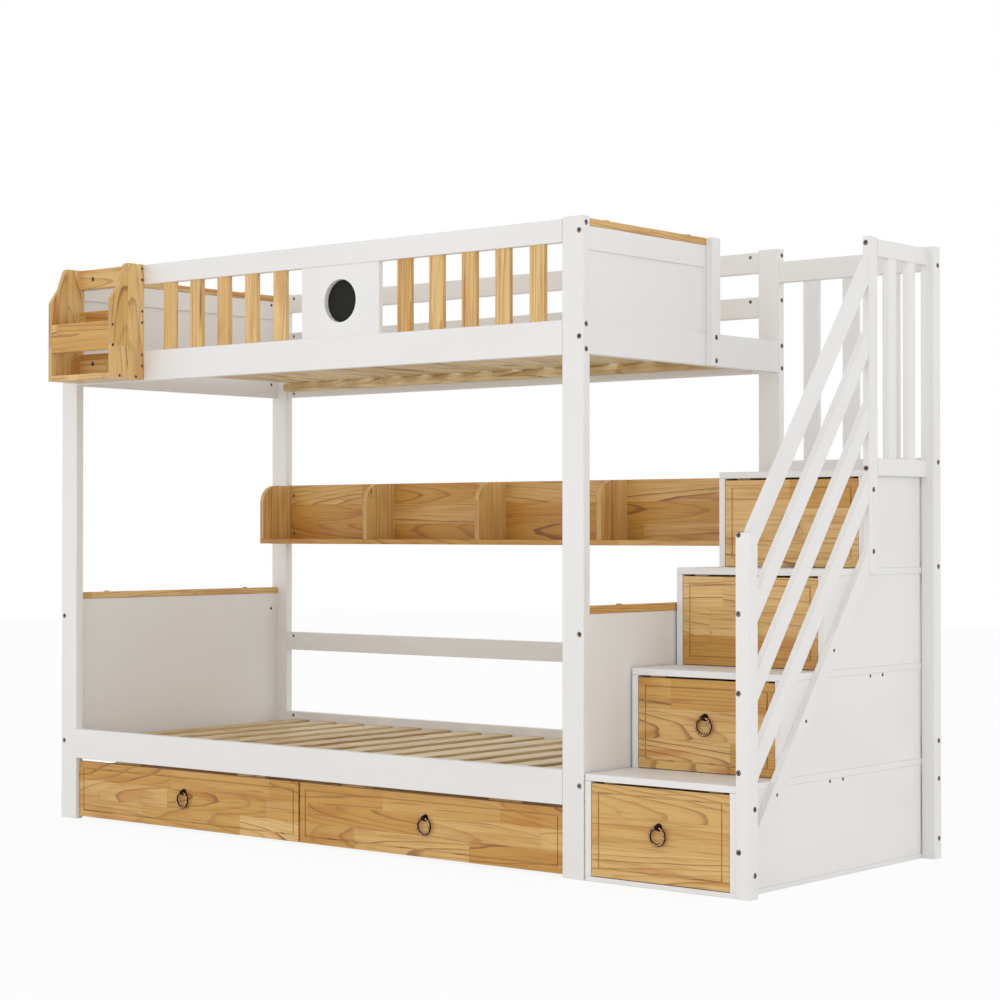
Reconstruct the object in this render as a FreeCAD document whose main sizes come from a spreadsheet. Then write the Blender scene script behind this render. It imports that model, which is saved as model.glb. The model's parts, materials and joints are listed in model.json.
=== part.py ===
"""Bunk bed with storage stairs: white posts and rails, pine drawers, shelves and slats.

The bed's long side runs along X, its front faces -Y and +Z is up. The origin lies on
the floor under the middle of the whole piece of furniture. Places are written from the
outer front corner of the left front post, and moved to the origin as they are used.
"""
import FreeCAD, Part
import os
import re
import Sketcher

os.makedirs("parts", exist_ok=True)
doc = FreeCAD.newDocument("bunk_bed")
Vector = FreeCAD.Vector
Rotation = FreeCAD.Rotation

# ---------------------------------------------------------------- driving dimensions (mm)
SIZES = {
    # Bed frame.
    "bed_length": 2056,            # over the outer faces of the posts
    "bed_width": 950,
    "post_wide": 70,
    "post_deep": 28,
    "post_high": 1704,
    "post_round": 3,               # radius along the upright edges of the posts
    "board_round": 2,              # radius along the edges of boards and rails
    "rail_thick": 24,
    "side_rail_high": 90,
    "upper_rail_base": 1348,
    "lower_rail_base": 188,
    "guard_rail_high": 60,
    "guard_drop": 5,               # post top down to the top of the guard rail
    "guard_low_base": 1510,
    "lower_guard_base": 488,
    "fit_gap": 1,                  # play at the ends of boards that only lie in place
    # Front guard infill.
    "guard_slat_wide": 50,
    "guard_slat_thick": 15,
    "guard_slat_gap": 66.5,
    "guard_slat_end_gap": 62,      # last slat to the right post
    "porthole_wide": 297,
    "porthole_bore": 121,          # diameter of the round window
    "disc_overlap": 10,            # the dark disc reaches this far behind the window's edge
    "disc_thick": 4,
    # Ends of the bed.
    "panel_thick": 24,
    "end_inset": 2,
    "lower_panel_top": 680,
    "cap_thick": 20,
    "cap_overhang": 2,
    "panel_rail_high": 61,         # solid rail along the top of the upper end panels
    "panel_stile_wide": 49,
    "panel_recess": 5,
    "end_panel_stop": 595,         # the way in starts behind this
    "end_cap_stop": 573,
    "entry_post_thick": 22,
    "entry_post_wide": 40,
    "cap_button_wide": 16,
    "cap_button_high": 3,
    # Slats that carry the mattresses.
    "ledger_rise": 20,
    "ledger_high": 28,
    "ledger_thick": 20,
    "bed_slat_wide": 70,
    "bed_slat_thick": 17,
    "bed_slat_end_gap": 36,        # post to the first slat
    # Shelf on the wall side.
    "wall_shelf_base": 850,
    "wall_shelf_high": 198,
    "wall_shelf_deep": 132,
    "wall_shelf_board": 16,
    "wall_shelf_inset": 22,        # outer face of the bed to the shelf's front face of the back
    "divider_drop": 2,
    "divider_round": 60,
    # Shelf that hangs on the upper guard.
    "bedside_start": 90,
    "bedside_wide": 291,
    "bedside_deep": 128.4,
    "bedside_base": 1350,
    "bedside_side": 14,
    "bedside_back": 15,
    "bedside_front": 11,
    "bedside_front_base": 1436,
    "bedside_front_high": 87,
    "bedside_floor": 17,
    "bedside_top_deep": 72,        # depth of the side's flat top
    "bedside_knee_deep": 96,
    "bedside_knee_drop": 64,
    "bedside_nose_drop": 109,
    "bedside_round": 14,
    # Drawers under the bed.
    "bed_drawer_side_gap": 4,
    "bed_drawer_mid_gap": 8,
    "bed_drawer_lift": 8,
    "bed_drawer_top_gap": 10,
    "bed_drawer_setback": 12,
    "bed_box_back_gap": 98,        # drawer box to the lower back rail
    "bed_drawer_inset": 18,        # groove line in from the edge of the front
    "bed_stop_wide": 115,
    "bed_stop_offset": 268,
    "front_thick": 16,
    "groove_wide": 4,
    "groove_deep": 3,
    "box_board": 12,
    "box_floor": 6,
    "box_top_gap": 14,             # box sides lie this far under the top of the front
    "bed_box_lift": 28,            # box bottom over the bottom of the front, for the wheels
    "wheel_wide": 30,              # diameter
    "wheel_thick": 12,
    "wheel_float": 0.3,
    "axle_thick": 6,
    "axle_play": 0.05,
    "bearer_thick": 20,
    "bearer_deep": 44,
    "bearer_inset": 60,
    "wheel_gap": 2,
    # Stairs.
    "stair_gap": 5,
    "stair_wide": 460,
    "stair_back_gap": 33,          # stair boxes to the plane of the bed's back
    "stair_rise": 260.5,
    "stair_going": 203.25,
    "stair_board": 18,
    "base_board": 13,
    "back_setin": 3,
    "stair_box_back_gap": 10.5,    # lower drawer boxes, all as deep as the third, to its back panel
    "top_box_back_gap": 17.25,     # top drawer box to its back panel
    "stair_front_side_gap": 2,
    "stair_front_foot_gap": 2,
    "stair_front_top_gap": 5,
    "stair_front_setback": 1,
    "stair_box_gap": 6,            # box side to side panel
    "stair_box_lift": 1,
    "stair_front_inset": 20,
    "stair_stop_wide": 43,
    "stair_stop_offset": 161,
    "stop_thick": 18,
    "stop_reach": 11,              # stops hang this far below what they are fixed to
    "stop_gap": 0.5,
    # Ring pulls.
    "ring_wide": 52,               # outer diameter
    "ring_wire": 7,
    "ring_stand": 8,             # front face to the middle of the wire
    "rosette_wide": 20,
    "rosette_thick": 3,
    "stud_wide": 14,
    "stud_long": 14.5,
    "stud_bore": 10,
    # Stair posts and rails.
    "newel_side": 40,
    "newel_high": 889,
    "newel_lead": 2,
    "mid_post_thick": 20,
    "mid_post_wide": 45,
    "mid_post_front": 601,
    "mid_post_base": 784,
    "landing_post_top": 1670,
    "rear_post_setin": 2,          # rear post's back face in from the plane of the bed's back
    "rear_post_deep": 39,
    "handrail_wide": 45,
    "handrail_thick": 18,
    "handrail_first": 52,          # lower edge of the lowest one, at the newel
    "handrail_pitch": 192.5,
    "landing_rail_thick": 20,
    "landing_side_top": 1665.5,
    "landing_side_high": 46,
    "landing_side_base": 1040,
    "landing_slat_wide": 42,
    "landing_slat_thick": 16,
    "back_top_base": 1606,
    "back_low_base": 1034,
    "cross_upper_base": 749,
    "cross_lower_base": 274,
    "cross_board_base": 42,
    "cross_board_high": 189,
    # Fasteners.
    "bolt_head_wide": 14,
    "bolt_head_thick": 1.6,
    "bolt_thick": 6,
    "bolt_slack": 0.3,
    "bolt_edge": 13,               # bolt centre in from the edge of a rail
    "nut_wide": 10,
    "nut_long": 14,
    "nut_inset": 30,               # nut centre in from the end of a rail
    "screw_head_wide": 9,
    "screw_bite": 14,
    "panel_bolt_edge": 52,
    "shelf_bolt_edge": 35,
    "newel_screw_rise": 62,        # lower edge of a handrail up to its screw
    "handrail_screw_bite": 25,
    "newel_bolt_low": 58,
    "newel_bolt_high": 218,
    "newel_bolt_back": 23,
    "mid_bolt_low": 45,
    "mid_bolt_high": 53,
    "landing_bolt_edge": 18,
    "tie_screw_first": 28,
    "tie_screw_second": 92,
    "tie_screw_drop": 6,
}

sheet = doc.addObject("Spreadsheet::Sheet", "sizes")
for row, (alias, value) in enumerate(SIZES.items(), 1):
    sheet.set(f"A{row}", alias)
    sheet.set(f"B{row}", str(value))
    sheet.setAlias(f"B{row}", alias)
doc.recompute()

# ---------------------------------------------------------------- worked-out places
LEFT_SLATS = 5
RIGHT_SLATS = 5
MID_X = "(bed_length + stair_gap + stair_wide + newel_side)/2"
MID_Y = "(bed_width - bedside_deep)/2"
INNER_LENGTH = "(bed_length - 2*post_wide)"
INNER_WIDTH = "(bed_width - 2*post_deep)"
GUARD_TOP = "(post_high - guard_drop)"
UPPER_RAIL_TOP = "(upper_rail_base + side_rail_high)"
UPPER_PANEL_TOP = f"({GUARD_TOP} - cap_thick)"
BACK_RAIL = "(bed_width - rail_thick)"
RIGHT_PANEL = "(bed_length - end_inset - panel_thick)"
SHELF_FACE = "(bed_width - wall_shelf_inset)"
STAIR_START = "(bed_length + stair_gap)"
STAIR_SIDE = f"({STAIR_START} + stair_wide)"
STAIR_MIDDLE = f"({STAIR_START} + stair_wide/2)"
NEWEL_BACK = "(newel_side - newel_lead)"
MID_POST_BACK = "(mid_post_front + mid_post_wide)"
SLOPE = "(stair_rise/stair_going)"
BED_FRONT_TOP = "(lower_rail_base - bed_drawer_top_gap)"
BED_FRONT_WIDE = f"(({INNER_LENGTH} - 2*bed_drawer_side_gap - bed_drawer_mid_gap)/2)"
STAIR_FRONT_WIDE = "(stair_wide - 2*stair_board - 2*stair_front_side_gap)"
WHEEL_HEIGHT = "(wheel_wide/2 + wheel_float)"
SLAT_PITCH = "(guard_slat_wide + guard_slat_gap)"
INFILL_END = "(bed_length - post_wide - guard_slat_end_gap)"
PORTHOLE_START = f"({INFILL_END} - {RIGHT_SLATS}*{SLAT_PITCH} - porthole_wide)"
STAIR_DEEP = "(bed_width - stair_back_gap)"
CROSS_FACE = "(bed_width - post_deep)"
REAR_POST_FRONT = "(bed_width - rear_post_setin - rear_post_deep)"
BED_SLATS = 15
BEDS = {"upper": "upper_rail_base", "lower": "lower_rail_base"}


def bound(expression):
    """The expression with each size name pointed at its cell."""
    return re.sub(r"\b([a-z]+(?:_[a-z]+)+)\b", r"sizes.\1", str(expression))


def number(expression):
    """The expression's value."""
    return float(sheet.evalExpression(bound(expression)))


def step_top(step):
    """Height of a tread's upper face; step -1 is the base board."""
    return f"(base_board + {step + 1}*stair_rise)"


# ---------------------------------------------------------------- building blocks
BOX_EDGES = {}
for index, edge in enumerate(Part.makeBox(1, 1, 1).Edges, 1):
    along = edge.tangentAt(edge.FirstParameter)
    letter = "XYZ"[[abs(part) > 0.5 for part in along].index(True)]
    BOX_EDGES.setdefault(letter, []).append(index)


def place(thing, at):
    """Binds a piece's corner to its place, counted from the bed's corner."""
    x, y, z = at
    thing.setExpression("Placement.Base.x", bound(f"{x} - {MID_X}"))
    thing.setExpression("Placement.Base.y", bound(f"{y} - {MID_Y}"))
    thing.setExpression("Placement.Base.z", bound(z))


def block(at, size):
    """A square-edged box."""
    box = doc.addObject("Part::Box", "block")
    for side, length in zip(("Length", "Width", "Height"), size):
        box.setExpression(side, bound(length))
    place(box, at)
    return box


def rounded(box, edges, radius="board_round"):
    """The box with the named edges rounded."""
    fillet = doc.addObject("Part::Fillet", "rounded")
    fillet.Base = box
    fillet.Edges = [(edge, number(radius), number(radius)) for edge in edges]
    return fillet


def board(at, size, along, radius="board_round"):
    """A board whose long edges are rounded."""
    return rounded(block(at, size), BOX_EDGES[along], radius)


def rod(at, thick, length, axis):
    """A round bar that starts at a point and runs along an axis, such as +X or -Y."""
    bar = doc.addObject("Part::Cylinder", "rod")
    bar.setExpression("Radius", bound(f"({thick})/2"))
    bar.setExpression("Height", bound(length))
    bar.Placement = FreeCAD.Placement(Vector(), Rotation(Vector(0, 0, 1), AXES[axis]))
    place(bar, at)
    return bar


AXES = {
    "+X": Vector(1, 0, 0),
    "-X": Vector(-1, 0, 0),
    "+Y": Vector(0, 1, 0),
    "-Y": Vector(0, -1, 0),
    "+Z": Vector(0, 0, 1),
}
nodes = {}


def node(name, pieces):
    """Finishes a sub-part: its pieces together, with the holes its bolts need."""
    whole = pieces[0]
    if len(pieces) > 1:
        whole = doc.addObject("Part::Compound", f"{name}_pieces")
        whole.Links = pieces
    if name in holes:
        drilling = doc.addObject("Part::Feature", f"{name}_holes")
        drilling.Shape = Part.makeCompound(holes[name])
        drilled = doc.addObject("Part::Cut", f"{name}_drilled")
        drilled.Base = whole
        drilled.Tool = drilling
        whole = drilled
    whole.Label = name
    nodes[name] = whole


# ---------------------------------------------------------------- bolts, nuts and screws
holes = {}
fasteners = []


def spot(at):
    """A place as a point in the part's own frame."""
    x, y, z = at
    return Vector(number(f"{x} - {MID_X}"), number(f"{y} - {MID_Y}"), number(z))


def fastener(at, facing, length, through, head="bolt_head_wide", nut=None):
    """A sunk bolt or screw whose head faces an axis, and its hole in each node.

    A nut is (place of its open end, axis it faces): a barrel across the bolt's tip.
    """
    start = spot(at)
    inward = AXES[facing] * -1
    slack = number("bolt_slack")
    head_radius = number(f"{head}/2")
    sink = number("bolt_head_thick")
    radius = number("bolt_thick/2")
    reach = number(length)
    shank = Part.makeCylinder(radius, reach, start, inward)
    fasteners.append(Part.makeCylinder(head_radius, sink, start, inward).fuse(shank))
    hole = Part.makeCylinder(head_radius + slack, sink, start, inward)
    hole = hole.fuse(Part.makeCylinder(radius + slack, reach + slack, start, inward))
    if nut:
        mouth = spot(nut[0])
        nut_in = AXES[nut[1]] * -1
        nut_radius = number("nut_wide/2")
        nut_long = number("nut_long")
        fasteners.append(Part.makeCylinder(nut_radius, nut_long, mouth, nut_in))
        hole = hole.fuse(Part.makeCylinder(nut_radius + slack, nut_long + slack, mouth, nut_in))
    for name in through:
        holes.setdefault(name, []).append(hole)


# Rails are bolted through the posts from both ends of the bed, with a barrel nut in the
# inner face of each rail.
RAIL_BOLTS = [
    ("posts_front", "rail_thick", "+Y", "rail_thick/2", [
        ("upper_side_rails", "upper_rail_base + bolt_edge"),
        ("upper_side_rails", f"{UPPER_RAIL_TOP} - bolt_edge"),
        ("lower_side_rails", "lower_rail_base + bolt_edge"),
        ("lower_side_rails", "lower_rail_base + side_rail_high - bolt_edge"),
        ("guard_rail_front", f"{GUARD_TOP} - bolt_edge"),
    ]),
    ("posts_back", BACK_RAIL, "-Y", f"{BACK_RAIL} + rail_thick/2", [
        ("upper_side_rails", "upper_rail_base + bolt_edge"),
        ("upper_side_rails", f"{UPPER_RAIL_TOP} - bolt_edge"),
        ("lower_side_rails", "lower_rail_base + bolt_edge"),
        ("lower_side_rails", "lower_rail_base + side_rail_high - bolt_edge"),
        ("guard_rails_back", f"{GUARD_TOP} - bolt_edge"),
        ("guard_rails_back", "guard_low_base + guard_rail_high - bolt_edge"),
        ("guard_rails_back", "lower_guard_base + guard_rail_high - bolt_edge"),
    ]),
]
for posts, nut_face, nut_facing, bolt_y, rows in RAIL_BOLTS:
    for rail, height in rows:
        for outer, facing, nut_x in (
            ("0", "-X", "post_wide + nut_inset"),
            ("bed_length", "+X", "bed_length - post_wide - nut_inset"),
        ):
            fastener(
                (outer, bolt_y, height), facing, "post_wide + nut_inset - nut_wide/2",
                [posts, rail], nut=((nut_x, nut_face, height), nut_facing),
            )

# The end panels are bolted through the posts from front and back.
PANEL_BOLTS = [
    ("lower_headboards", "lower_rail_base + panel_bolt_edge"),
    ("lower_headboards", "lower_panel_top - panel_bolt_edge"),
    ("upper_ends", f"{UPPER_PANEL_TOP} - bolt_edge"),
    ("upper_ends", "upper_rail_base + side_rail_high/2"),
]
for side, bolt_x, nut_face, nut_facing in (
    ("left", "end_inset + panel_thick/2", "end_inset + panel_thick", "+X"),
    ("right", f"{RIGHT_PANEL} + panel_thick/2", RIGHT_PANEL, "-X"),
):
    for panel, height in PANEL_BOLTS:
        for posts, outer, facing, nut_y in (
            ("posts_front", "0", "-Y", "post_deep + nut_inset"),
            ("posts_back", "bed_width", "+Y", "bed_width - post_deep - nut_inset"),
        ):
            holder = panel
            if panel == "upper_ends":
                holder = "upper_headboard_left"
                if side == "right":
                    holder = "entry_rail"
                    if height.startswith(UPPER_PANEL_TOP):
                        holder = "upper_end_panel_right"
            if holder == "upper_end_panel_right" and posts == "posts_back":
                continue
            fastener(
                (bolt_x, outer, height), facing, "post_deep + nut_inset - nut_wide/2",
                [posts, holder], nut=((nut_face, nut_y, height), nut_facing),
            )

# The post beside the way in is bolted to the end rail and to the panel above it.
for height in ("upper_rail_base + bolt_edge", f"{UPPER_RAIL_TOP} - bolt_edge"):
    fastener(
        ("bed_length - end_inset + entry_post_thick", "end_panel_stop - entry_post_wide/2", height),
        "+X", "entry_post_thick + screw_bite", ["entry_post", "entry_rail"],
    )

# The back board of the wall shelf is bolted between the back posts.
for height in ("wall_shelf_base + shelf_bolt_edge", "wall_shelf_base + wall_shelf_high - shelf_bolt_edge"):
    for outer, facing, nut_x in (
        ("0", "-X", "post_wide + nut_inset"),
        ("bed_length", "+X", "bed_length - post_wide - nut_inset"),
    ):
        middle = f"{SHELF_FACE} + wall_shelf_board/2"
        fastener(
            (outer, middle, height), facing, "post_wide + nut_inset - nut_wide/2",
            ["posts_back", "wall_shelf_boards"], nut=((nut_x, SHELF_FACE, height), "-Y"),
        )

# Screws in the sides of the bedside shelf, and the bolts that hang it on the guard.
BEDSIDE_BOARD_TOPS = [GUARD_TOP, "(guard_low_base + guard_rail_high)", UPPER_RAIL_TOP]
BEDSIDE_SCREWS = [("-bedside_deep + bedside_front/2", f"bedside_front_base + {part}*bedside_front_high")
                  for part in (0.15, 0.85)]
BEDSIDE_SCREWS += [(f"-bedside_deep*{part}", "bedside_base + bedside_floor/2") for part in (0.25, 0.75)]
for top in BEDSIDE_BOARD_TOPS:
    BEDSIDE_SCREWS += [("-bedside_back/2", f"{top} - bolt_edge"),
                       ("-bedside_back/2", f"{top} - guard_rail_high + bolt_edge + bolt_slack")]
for outer, facing in (("bedside_start", "-X"), ("bedside_start + bedside_wide", "+X")):
    for screw_y, height in BEDSIDE_SCREWS:
        fastener((outer, screw_y, height), facing, "bedside_side + screw_bite",
                 ["bedside_shelf_sides", "bedside_shelf_boards"], head="screw_head_wide")
for board_top, holder in ((BEDSIDE_BOARD_TOPS[0], "guard_rail_front"),
                          (BEDSIDE_BOARD_TOPS[2], "upper_side_rails")):
    for share in (0.25, 0.75):
        fastener(
            (f"bedside_start + {share}*bedside_wide", "-bedside_back", f"{board_top} - guard_rail_high/2"),
            "-Y", "bedside_back + screw_bite", ["bedside_shelf_boards", holder],
        )

# Stair posts: into the handrails from the front, into the stair boxes from the side.
HANDRAILS = 5
HANDRAIL_MIDDLE = f"({STAIR_SIDE} + handrail_thick/2)"
for count in range(HANDRAILS):
    fastener(
        (HANDRAIL_MIDDLE, "-newel_lead", f"handrail_first + {count}*handrail_pitch + newel_screw_rise"),
        "-Y", "newel_side + handrail_screw_bite", ["stair_newel_post", "stair_handrails"],
    )
for height in ("newel_bolt_low", "newel_bolt_high"):
    fastener((f"{STAIR_SIDE} + newel_side", "newel_bolt_back", height), "+X", "newel_side + screw_bite",
             ["stair_newel_post", "stair_side_panels"])
for height in (f"{step_top(2)} + mid_bolt_low", f"{step_top(3)} - mid_bolt_high"):
    fastener(
        (f"{STAIR_SIDE} + mid_post_thick", "mid_post_front + mid_post_wide/2", height),
        "+X", "mid_post_thick + screw_bite", ["stair_landing_posts", "stair_side_panels"],
    )
for height in ("landing_side_base + landing_bolt_edge", "landing_side_top - bolt_edge"):
    fastener(
        (f"{STAIR_SIDE} + landing_rail_thick/2", "mid_post_front", height), "-Y",
        "mid_post_wide + nut_inset - nut_wide/2", ["stair_landing_posts", "landing_rails"],
        nut=((STAIR_SIDE, f"{MID_POST_BACK} + nut_inset", height), "-X"),
    )
BACK_RAIL_BOLTS = [
    "back_top_base + bolt_edge",
    "back_low_base + guard_rail_high - bolt_edge",
    "cross_upper_base + guard_rail_high - bolt_edge",
    "cross_lower_base + guard_rail_high - bolt_edge",
    "cross_board_base + cross_board_high - bolt_edge",
    "cross_board_base + bolt_edge",
]
for height in BACK_RAIL_BOLTS:
    fastener(
        (f"{STAIR_SIDE} + newel_side", f"{CROSS_FACE} + rail_thick/2", height), "+X",
        "newel_side + nut_inset - nut_wide/2", ["stair_landing_posts", "landing_rails"],
        nut=((f"{STAIR_SIDE} - nut_inset", CROSS_FACE, height), "-Y"),
    )

# Three screws hold the lowest handrail against the sides of the boxes, and two more in
# each of the middle boxes tie it to the tread below.
for share in (0.21, 0.45, 0.69):
    run = f"({share}*(mid_post_front - {NEWEL_BACK}))"
    rise = f"handrail_first + {run}*{SLOPE} + handrail_wide*sqrt(1 + {SLOPE}^2)/2"
    fastener((f"{STAIR_SIDE} + handrail_thick", f"{NEWEL_BACK} + {run}", rise), "+X",
             "handrail_thick + screw_bite", ["stair_handrails", "stair_side_panels"],
             head="screw_head_wide")
for step in (0, 1):
    for offset in ("tie_screw_first", "tie_screw_second"):
        fastener(
            (STAIR_SIDE, f"{step + 2}*stair_going + {offset}", f"{step_top(step)} - stair_board - tie_screw_drop"),
            "+X", "screw_bite", ["stair_side_panels"], head="screw_head_wide",
        )

# ---------------------------------------------------------------- bed frame
for name, post_y in (("posts_front", "0"), ("posts_back", "bed_width - post_deep")):
    node(name, [
        board((post_x, post_y, "0"), ("post_wide", "post_deep", "post_high"), "Z", "post_round")
        for post_x in ("0", "bed_length - post_wide")
    ])


def long_rail(rail_y, base, high):
    """A rail along the bed, from post to post."""
    return board(("post_wide", rail_y, base), (INNER_LENGTH, "rail_thick", high), "X")


for bed, base in BEDS.items():
    node(f"{bed}_side_rails", [long_rail(rail_y, base, "side_rail_high") for rail_y in ("0", BACK_RAIL)])
GUARD_BASE = f"({GUARD_TOP} - guard_rail_high)"
node("guard_rail_front", [long_rail("0", GUARD_BASE, "guard_rail_high")])
node("guard_rails_back", [
    long_rail(BACK_RAIL, base, "guard_rail_high")
    for base in (GUARD_BASE, "guard_low_base", "lower_guard_base")
])

# ---------------------------------------------------------------- front guard infill
INFILL_HIGH = f"({GUARD_BASE} - {UPPER_RAIL_TOP})"
INFILL_Y = "((rail_thick - guard_slat_thick)/2)"
infill_starts = [f"{PORTHOLE_START} - {count + 1}*{SLAT_PITCH}" for count in range(LEFT_SLATS)]
infill_starts += [f"{INFILL_END} - {count}*{SLAT_PITCH} - guard_slat_wide" for count in range(RIGHT_SLATS)]
node("guard_slats_front", [
    board((start, INFILL_Y, UPPER_RAIL_TOP), ("guard_slat_wide", "guard_slat_thick", INFILL_HIGH), "Z")
    for start in infill_starts
])


def body_with_sketch(name, role, at):
    """A body at its place and an empty sketch on one of its own planes."""
    body = doc.addObject("PartDesign::Body", name)
    plane = [item for item in body.Origin.OriginFeatures if item.Role == role][0]
    sketch = body.newObject("Sketcher::SketchObject", f"{name}_outline")
    sketch.AttachmentSupport = [(plane, "")]
    sketch.MapMode = "FlatFace"
    place(body, at)
    return body, sketch


def dimension(sketch, kind, first, first_end, second, second_end, expression):
    """A signed distance between two sketch points, bound to an expression."""
    value = number(expression)
    index = sketch.addConstraint(
        Sketcher.Constraint(kind, first, first_end, second, second_end, value))
    sketch.setExpression(f"Constraints[{index}]", bound(expression))


def outline(sketch, corners):
    """A closed outline through the corners, each tied to the origin by its two distances."""
    points = [Vector(number(across), number(up), 0) for across, up in corners]
    for start, end in zip(points, points[1:] + points[:1]):
        sketch.addGeometry(Part.LineSegment(start, end), False)
    first = sketch.GeometryCount - len(corners)
    for index, (across, up) in enumerate(corners):
        before = first + (index - 1) % len(corners)
        sketch.addConstraint(Sketcher.Constraint("Coincident", before, 2, first + index, 1))
        for kind, expression in (("DistanceX", across), ("DistanceY", up)):
            dimension(sketch, kind, -1, 1, first + index, 1, expression)


def rectangle(sketch, left, low, right, high):
    """A closed rectangle between two corners."""
    outline(sketch, [(left, low), (right, low), (right, high), (left, high)])


def circle(sketch, across, up, radius):
    """A full circle, with its centre and radius bound."""
    middle = Vector(number(across), number(up), 0)
    index = sketch.addGeometry(Part.Circle(middle, Vector(0, 0, 1), number(radius)), False)
    dimension(sketch, "DistanceX", -1, 1, index, 3, across)
    dimension(sketch, "DistanceY", -1, 1, index, 3, up)
    row = sketch.addConstraint(Sketcher.Constraint("Radius", index, number(radius)))
    sketch.setExpression(f"Constraints[{row}]", bound(radius))


def pad(body, sketch, length, reverse=False):
    """The sketch made solid."""
    solid = body.newObject("PartDesign::Pad", f"{body.Name}_pad")
    solid.Profile = sketch
    solid.setExpression("Length", bound(length))
    solid.Reversed = reverse
    sketch.Visibility = False
    return solid


# On the XZ plane a sketch's normal points to -Y, so a reversed pad grows towards +Y.
panel, face = body_with_sketch("porthole_panel", "XZ_Plane", (PORTHOLE_START, INFILL_Y, UPPER_RAIL_TOP))
rectangle(face, "0", "0", "porthole_wide", INFILL_HIGH)
circle(face, "porthole_wide/2", f"{INFILL_HIGH}/2", "porthole_bore/2")
pad(panel, face, "guard_slat_thick", reverse=True)
node("porthole_panel", [panel])
node("porthole_disc", [rod(
    (f"{PORTHOLE_START} + porthole_wide/2", f"{INFILL_Y} + guard_slat_thick",
     f"{UPPER_RAIL_TOP} + {INFILL_HIGH}/2"),
    "porthole_bore + 2*disc_overlap", "disc_thick", "+Y",
)])


# ---------------------------------------------------------------- ends of the bed
def end_board(panel_x, panel_y, base, deep, high):
    """A board across an end of the bed."""
    return board((panel_x, panel_y, base), ("panel_thick", deep, high), "Y")


node("lower_headboards", [
    end_board(panel_x, "post_deep", "lower_rail_base", INNER_WIDTH, "lower_panel_top - lower_rail_base")
    for panel_x in ("end_inset", RIGHT_PANEL)
])
node("entry_rail", [end_board(RIGHT_PANEL, "post_deep", "upper_rail_base", INNER_WIDTH, "side_rail_high")])


def framed_panel(name, panel_x, base, deep, stile):
    """An end panel with a sunk field on both faces, under its top rail."""
    solid = end_board(panel_x, "post_deep", base, deep, f"{UPPER_PANEL_TOP} - {base}")
    for field_x in (f"{panel_x} - panel_recess", f"{panel_x} + panel_thick - panel_recess"):
        field = block(
            (field_x, "post_deep", UPPER_RAIL_TOP),
            ("2*panel_recess", f"{deep} - {stile}", f"{UPPER_PANEL_TOP} - panel_rail_high - {UPPER_RAIL_TOP}"),
        )
        sunk = doc.addObject("Part::Cut", f"{name}_field")
        sunk.Base = solid
        sunk.Tool = field
        solid = sunk
    node(name, [solid])


framed_panel("upper_headboard_left", "end_inset", "upper_rail_base", INNER_WIDTH, "0")
framed_panel("upper_end_panel_right", RIGHT_PANEL, UPPER_RAIL_TOP,
             "(end_panel_stop - post_deep)", "panel_stile_wide")
node("entry_post", [board(
    ("bed_length - end_inset", "end_panel_stop - entry_post_wide", "upper_rail_base"),
    ("entry_post_thick", "entry_post_wide", f"{GUARD_TOP} - upper_rail_base"), "Z",
)])

# The cap beside the way in stays flush outside, where the entry post passes it.
CAPS = [
    ("end_inset", "lower_panel_top", INNER_WIDTH, "2*cap_overhang"),
    (RIGHT_PANEL, "lower_panel_top", INNER_WIDTH, "2*cap_overhang"),
    ("end_inset", UPPER_PANEL_TOP, INNER_WIDTH, "2*cap_overhang"),
    (RIGHT_PANEL, UPPER_PANEL_TOP, "(end_cap_stop - post_deep)", "cap_overhang"),
]
caps = []
for cap_x, base, deep, overhang in CAPS:
    caps.append(board((f"{cap_x} - cap_overhang", "post_deep", base),
                      (f"panel_thick + {overhang}", deep, "cap_thick"), "Y"))
    for share in (0.16, 0.84):
        caps.append(rod((f"{cap_x} + panel_thick/2", f"post_deep + {share}*{deep}", f"{base} + cap_thick"),
                        "cap_button_wide", "cap_button_high", "+Z"))
node("headboard_caps", caps)

# ---------------------------------------------------------------- slats under the mattresses
ledgers = []
for base in BEDS.values():
    for ledger_y in ("rail_thick", f"{BACK_RAIL} - ledger_thick"):
        ledgers.append(board(("post_wide", ledger_y, f"{base} + ledger_rise"),
                             (INNER_LENGTH, "ledger_thick", "ledger_high"), "X"))
node("slat_ledgers", ledgers)
FIRST_BED_SLAT = "(post_wide + bed_slat_end_gap)"
BED_SLAT_PITCH = f"((bed_length - 2*{FIRST_BED_SLAT} - bed_slat_wide)/{BED_SLATS - 1})"
for bed, base in BEDS.items():
    node(f"{bed}_bed_slats", [
        board((f"{FIRST_BED_SLAT} + {count}*{BED_SLAT_PITCH}", "rail_thick + fit_gap",
               f"{base} + ledger_rise + ledger_high"),
              ("bed_slat_wide", "bed_width - 2*rail_thick - 2*fit_gap", "bed_slat_thick"), "Y")
        for count in range(BED_SLATS)
    ])

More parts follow.
